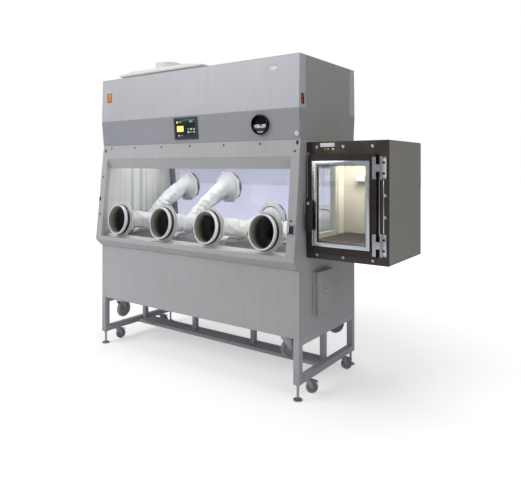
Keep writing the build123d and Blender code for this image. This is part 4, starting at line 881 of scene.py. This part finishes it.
# Toggle and lever on each clamp band
black_steel = metal("Black steel", screen(34, 33, 34), 0.4, (4.0, 4.0, 4.0))
toggle_bits = []
band_rx = collar_rx + 0.0065
band_ry = collar_ry + 0.0065
for side, _, heights, _ in port_sets:
    for number, (x, z) in enumerate(zip(port_x, heights)):
        angle = radians(188) if side < 0 else radians(30)
        arm_finish = screw_bright if side < 0 and number == 3 else black_steel
        for turn, finish_made in ((angle, black_steel), (angle + 0.22, arm_finish)):
            at = (window_face(side, x, z)
                  @ Matrix.Translation((band_rx * cos(turn), band_ry * sin(turn), -0.002))
                  @ Matrix.Rotation(turn, 4, "Z"))
            toggle_bits.append(plate("toggle", (0.007, 0.022, 0.012), (0.002, 0, 0), finish_made, 0.001, at))
            toggle_bits.append(plate("toggle_arm", (0.003, 0.034, 0.006), (0.006, 0.004, 0), finish_made,
                                     0.001, at))
ride(join(toggle_bits, "clamp_toggles"), "cabinet")


# Airlock front: screws, bare label with three lamps, the door's bright trim and gaskets
def on_lock(x, z):
    """A place on the airlock's front plate."""
    return wall_face(mid + x, plate_y, z)


lock_bits = []
for x, z in ((0.972, 1.492), (1.142, 1.492), (1.322, 1.492), (0.972, 0.858), (1.142, 0.858),
             (1.322, 0.858), (1.395, 1.10), (1.395, 1.22)):
    lock_bits.append(screw("plate_screw", 0.0085, on_lock(x, z), screw_bright, x * 7))
ride(join(lock_bits, "plate_screws"), "cabinet")
lamp_bits = [plate("lock_label", (0.094, 0.022, 0.0010), (0, 0, 0.0005), white_label, 0.0003,
                   on_lock(1.040, 1.505))]
for lamp_name, x, colour in (("Lamp 1", 1.026, screen(210, 60, 44)), ("Lamp 2", 1.046, screen(70, 180, 90)),
                             ("Lamp 3", 1.078, screen(230, 190, 70))):
    lamp_bits.append(disc("lamp", 0.0055, 0.004, (0, 0, 0.002), glowing(lamp_name, colour, 0.5), 0.0015,
                          on_lock(x, 1.480), 24))
ride(join(lamp_bits, "airlock_label"), "cabinet")

# Airlock door: bright trim over its raised ring, dark seals, and the strips at the hinges
trim_out = 0.003
trim_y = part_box("airlock_door")[0].y
door_y = trim_y + trim_out
trim_left, trim_right = 0.962, 1.314
trim_low, trim_high = 0.914, 1.411


def frame_ring(name, inset, width, thick, y, material, edge):
    """A flat ring in front of a face, set in from the trim's edge, with mitred corners."""
    mesh = bpy.data.meshes.new(name)
    build = bmesh.new()
    loops = []
    for step, depth in ((0, 0), (0, thick), (width, thick), (width, 0)):
        left, right = trim_left + inset + step, trim_right - inset - step
        low, high = trim_low + inset + step, trim_high - inset - step
        corners = ((left, low), (right, low), (right, high), (left, high))
        loops.append([build.verts.new((mid + x, y - depth, z)) for x, z in corners])
    for i in range(4):
        for k in range(4):
            build.faces.new((loops[i][k], loops[i][(k + 1) % 4],
                             loops[(i + 1) % 4][(k + 1) % 4], loops[(i + 1) % 4][k]))
    bmesh.ops.recalc_face_normals(build, faces=build.faces)
    build.to_mesh(mesh)
    build.free()
    mesh.materials.append(material)
    piece = added(name, mesh)
    add_modifier(piece, "BEVEL", width=edge, segments=2, limit_method="ANGLE")
    smooth(piece)
    return piece


latch_x = 0.943
latch_z = 1.163
door_bits = [
    frame_ring("door_trim", 0, 0.023, 0.0012, trim_y, trim_steel, 0.0005),
    frame_ring("trim_seal", -0.005, 0.0045, 0.0016, door_y, dark_finish_and_slot_shade, 0.0005),
    frame_ring("glass_seal", 0.022, 0.005, 0.006, door_y + 0.010, dark_finish_and_slot_shade, 0.001),
    plate("door_strip", (0.006, 0.0016, 0.50), (mid + 0.9535, door_y - 0.0008, latch_z), screw_bright,
          0.0005)]
ride(join(door_bits, "airlock_door_trim"), "airlock_door")

# Bright strips beside the hinges, and the hinges' covers with their screws
strip_bits = []
for x in (1.3605, 1.3865):
    strip_bits.append(plate("strip", (0.006, 0.003, 0.33), (mid + x, plate_y - 0.0015, 1.1595),
                            screw_bright, 0.0008))
ride(join(strip_bits, "hinge_strips"), "cabinet")
white_block = plastic("White block", screen(226, 228, 230), 0.4)
hinge_x = mid + 1.391
hinge_bits = []
for z, face in ((1.371, white_block), (0.948, pale_metal)):
    hinge_bits.append(plate("hinge_cover", (0.026, 0.003, 0.104), (hinge_x, plate_y - 0.0075, z), face,
                            0.001))
    for dz in (-0.030, 0.030):
        hinge_bits.append(screw("hinge_screw", 0.0065, wall_face(hinge_x, plate_y - 0.009, z + dz),
                                screw_dark, dz * 40))
ride(join(hinge_bits, "hinge_covers"), "cabinet")

# Keeper's pale face and the latch lever's pivot screw
keep_bits = [plate("keeper_face", (0.014, 0.0014, 0.074), (mid + 0.912, plate_y - 0.0367, 1.136),
                   pale_metal, 0.0004)]
for x in (0.9065, 0.9165):
    keep_bits.append(plate("keeper_strip", (0.005, 0.003, 0.27), (mid + x, plate_y - 0.0015, 1.33),
                           screw_bright, 0.001))
ride(join(keep_bits, "keeper_plate"), "cabinet")
lever_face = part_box("latch_lever")[0].y
grip_ribs = [screw("lever_screw", 0.008, wall_face(mid + latch_x, lever_face, latch_z), screw_bright,
                   0.7, 0.003)]
rib_low_z = 1.018
rib_pitch = 0.011
for k in range(7):
    grip_ribs.append(plate("lever_rib", (0.028, 0.0016, 0.0030),
                           (mid + latch_x, lever_face - 0.0004, rib_low_z + rib_pitch * k),
                           paints["black_plastic"], 0.0006))
ride(join(grip_ribs, "lever_details"), "latch_lever")

# Inside the airlock: a small white box and a lamp strip at the top
inside_bits = [plate("lock_box", (0.052, 0.030, 0.036), (mid + 1.035, 0.185, 1.300), white_block, 0.003),
               plate("lock_strip", (0.026, 0.006, 0.44), (mid + 1.085, 0.196, 1.17), dark_finish_and_slot_shade, 0.001)]
ride(join(inside_bits, "airlock_fittings"), "cabinet")
lock_lamp = glowing("Airlock lamp", screen(255, 246, 226), 6.0)
lock_mid_x = mid + 1.14
tube = disc("airlock_lamp", 0.008, 0.34, (0, 0, 0), lock_lamp, 0.003,
            Matrix.Translation((lock_mid_x, 0.10, 1.470)) @ Matrix.Rotation(radians(90), 4, "Y"), 24)
ride(tube, "cabinet")


# Floor, light and camera
def add_light(name, place, aim, energy, size, size_y, tone):
    """A soft lamp aimed at a point."""
    data = bpy.data.lights.new(name, "AREA")
    data.energy = energy
    data.color = tone
    data.shape = "RECTANGLE"
    data.size = size
    data.size_y = size_y
    lamp = added(name, data)
    lamp.location = place
    lamp.rotation_euler = (Vector(aim) - Vector(place)).to_track_quat("-Z", "Y").to_euler()


bpy.ops.object.select_all(action="DESELECT")
bpy.ops.mesh.primitive_plane_add(size=60, location=(0, 0, 0))
floor = bpy.context.object
floor.name = "studio_floor"
floor_material, tree, shader, where = blank("Studio floor")
reach = node(tree, "VectorMath", {0: where}, operation="LENGTH").outputs["Value"]
glow = maths(tree, "MULTIPLY", ramp(tree, reach, 1.2, 4.5, 0.44, 1.0), seen_rays(tree))
feed(tree, shader, {"Base Color": (0.86, 0.86, 0.86, 1), "Roughness": 0.7,
                    "Emission Color": (1, 1, 1, 1), "Emission Strength": glow})
floor.data.materials.append(floor_material)

world = bpy.data.worlds.new("Studio")
bpy.context.scene.world = world
world.use_nodes = True
tree = world.node_tree
tree.nodes.clear()
soft = node(tree, "Background", {"Color": (0.80, 0.81, 0.85, 1), "Strength": 0.34})
white = node(tree, "Background", {"Color": (1, 1, 1, 1), "Strength": 1.0})
both = node(tree, "MixShader", {0: seen_rays(tree), 1: soft.outputs[0], 2: white.outputs[0]})
node(tree, "OutputWorld", {"Surface": both.outputs[0]})

lamp_z = 1.455
for name, place, aim, energy, size, size_y, tone in (
        ("Key", (-3.2, -4.6, 4.2), (0, 0, 1.1), 150, 3.4, 2.6, (1.0, 0.99, 0.98)),
        ("Fill", (4.2, -2.2, 3.2), (0.3, 0, 1.0), 30, 2.6, 2.6, (1.0, 0.985, 0.96)),
        ("Top", (0, 0, 4.6), (0, 0, 0), 66, 4.0, 3.0, (1.0, 1.0, 1.0)),
        ("Chamber", (mid, 0.02, lamp_z), (mid, 0.0, 0.8), 5.5, 1.5, 0.16, (1.0, 1.0, 1.0)),
        ("Airlock glow", (lock_mid_x, 0.08, lamp_z), (lock_mid_x, 0.05, 0.9), 9.0, 0.36, 0.06,
         (1.0, 0.93, 0.82))):
    add_light(name, place, aim, energy, size, size_y, tone)

camera_data = bpy.data.cameras.new("Camera")
camera = added("Camera", camera_data)
camera.location = (2.2528, -3.0114, 1.3777)
camera.rotation_euler = (radians(90), 0, radians(35.5))
camera_data.sensor_width = 36
camera_data.lens = 36.40
camera_data.shift_x = 0
camera_data.shift_y = -0.1463
camera_data.clip_end = 200
bpy.context.scene.camera = camera
bpy.context.scene.render.resolution_x = 521
bpy.context.scene.render.resolution_y = 486
bpy.context.scene.view_settings.view_transform = "Standard"
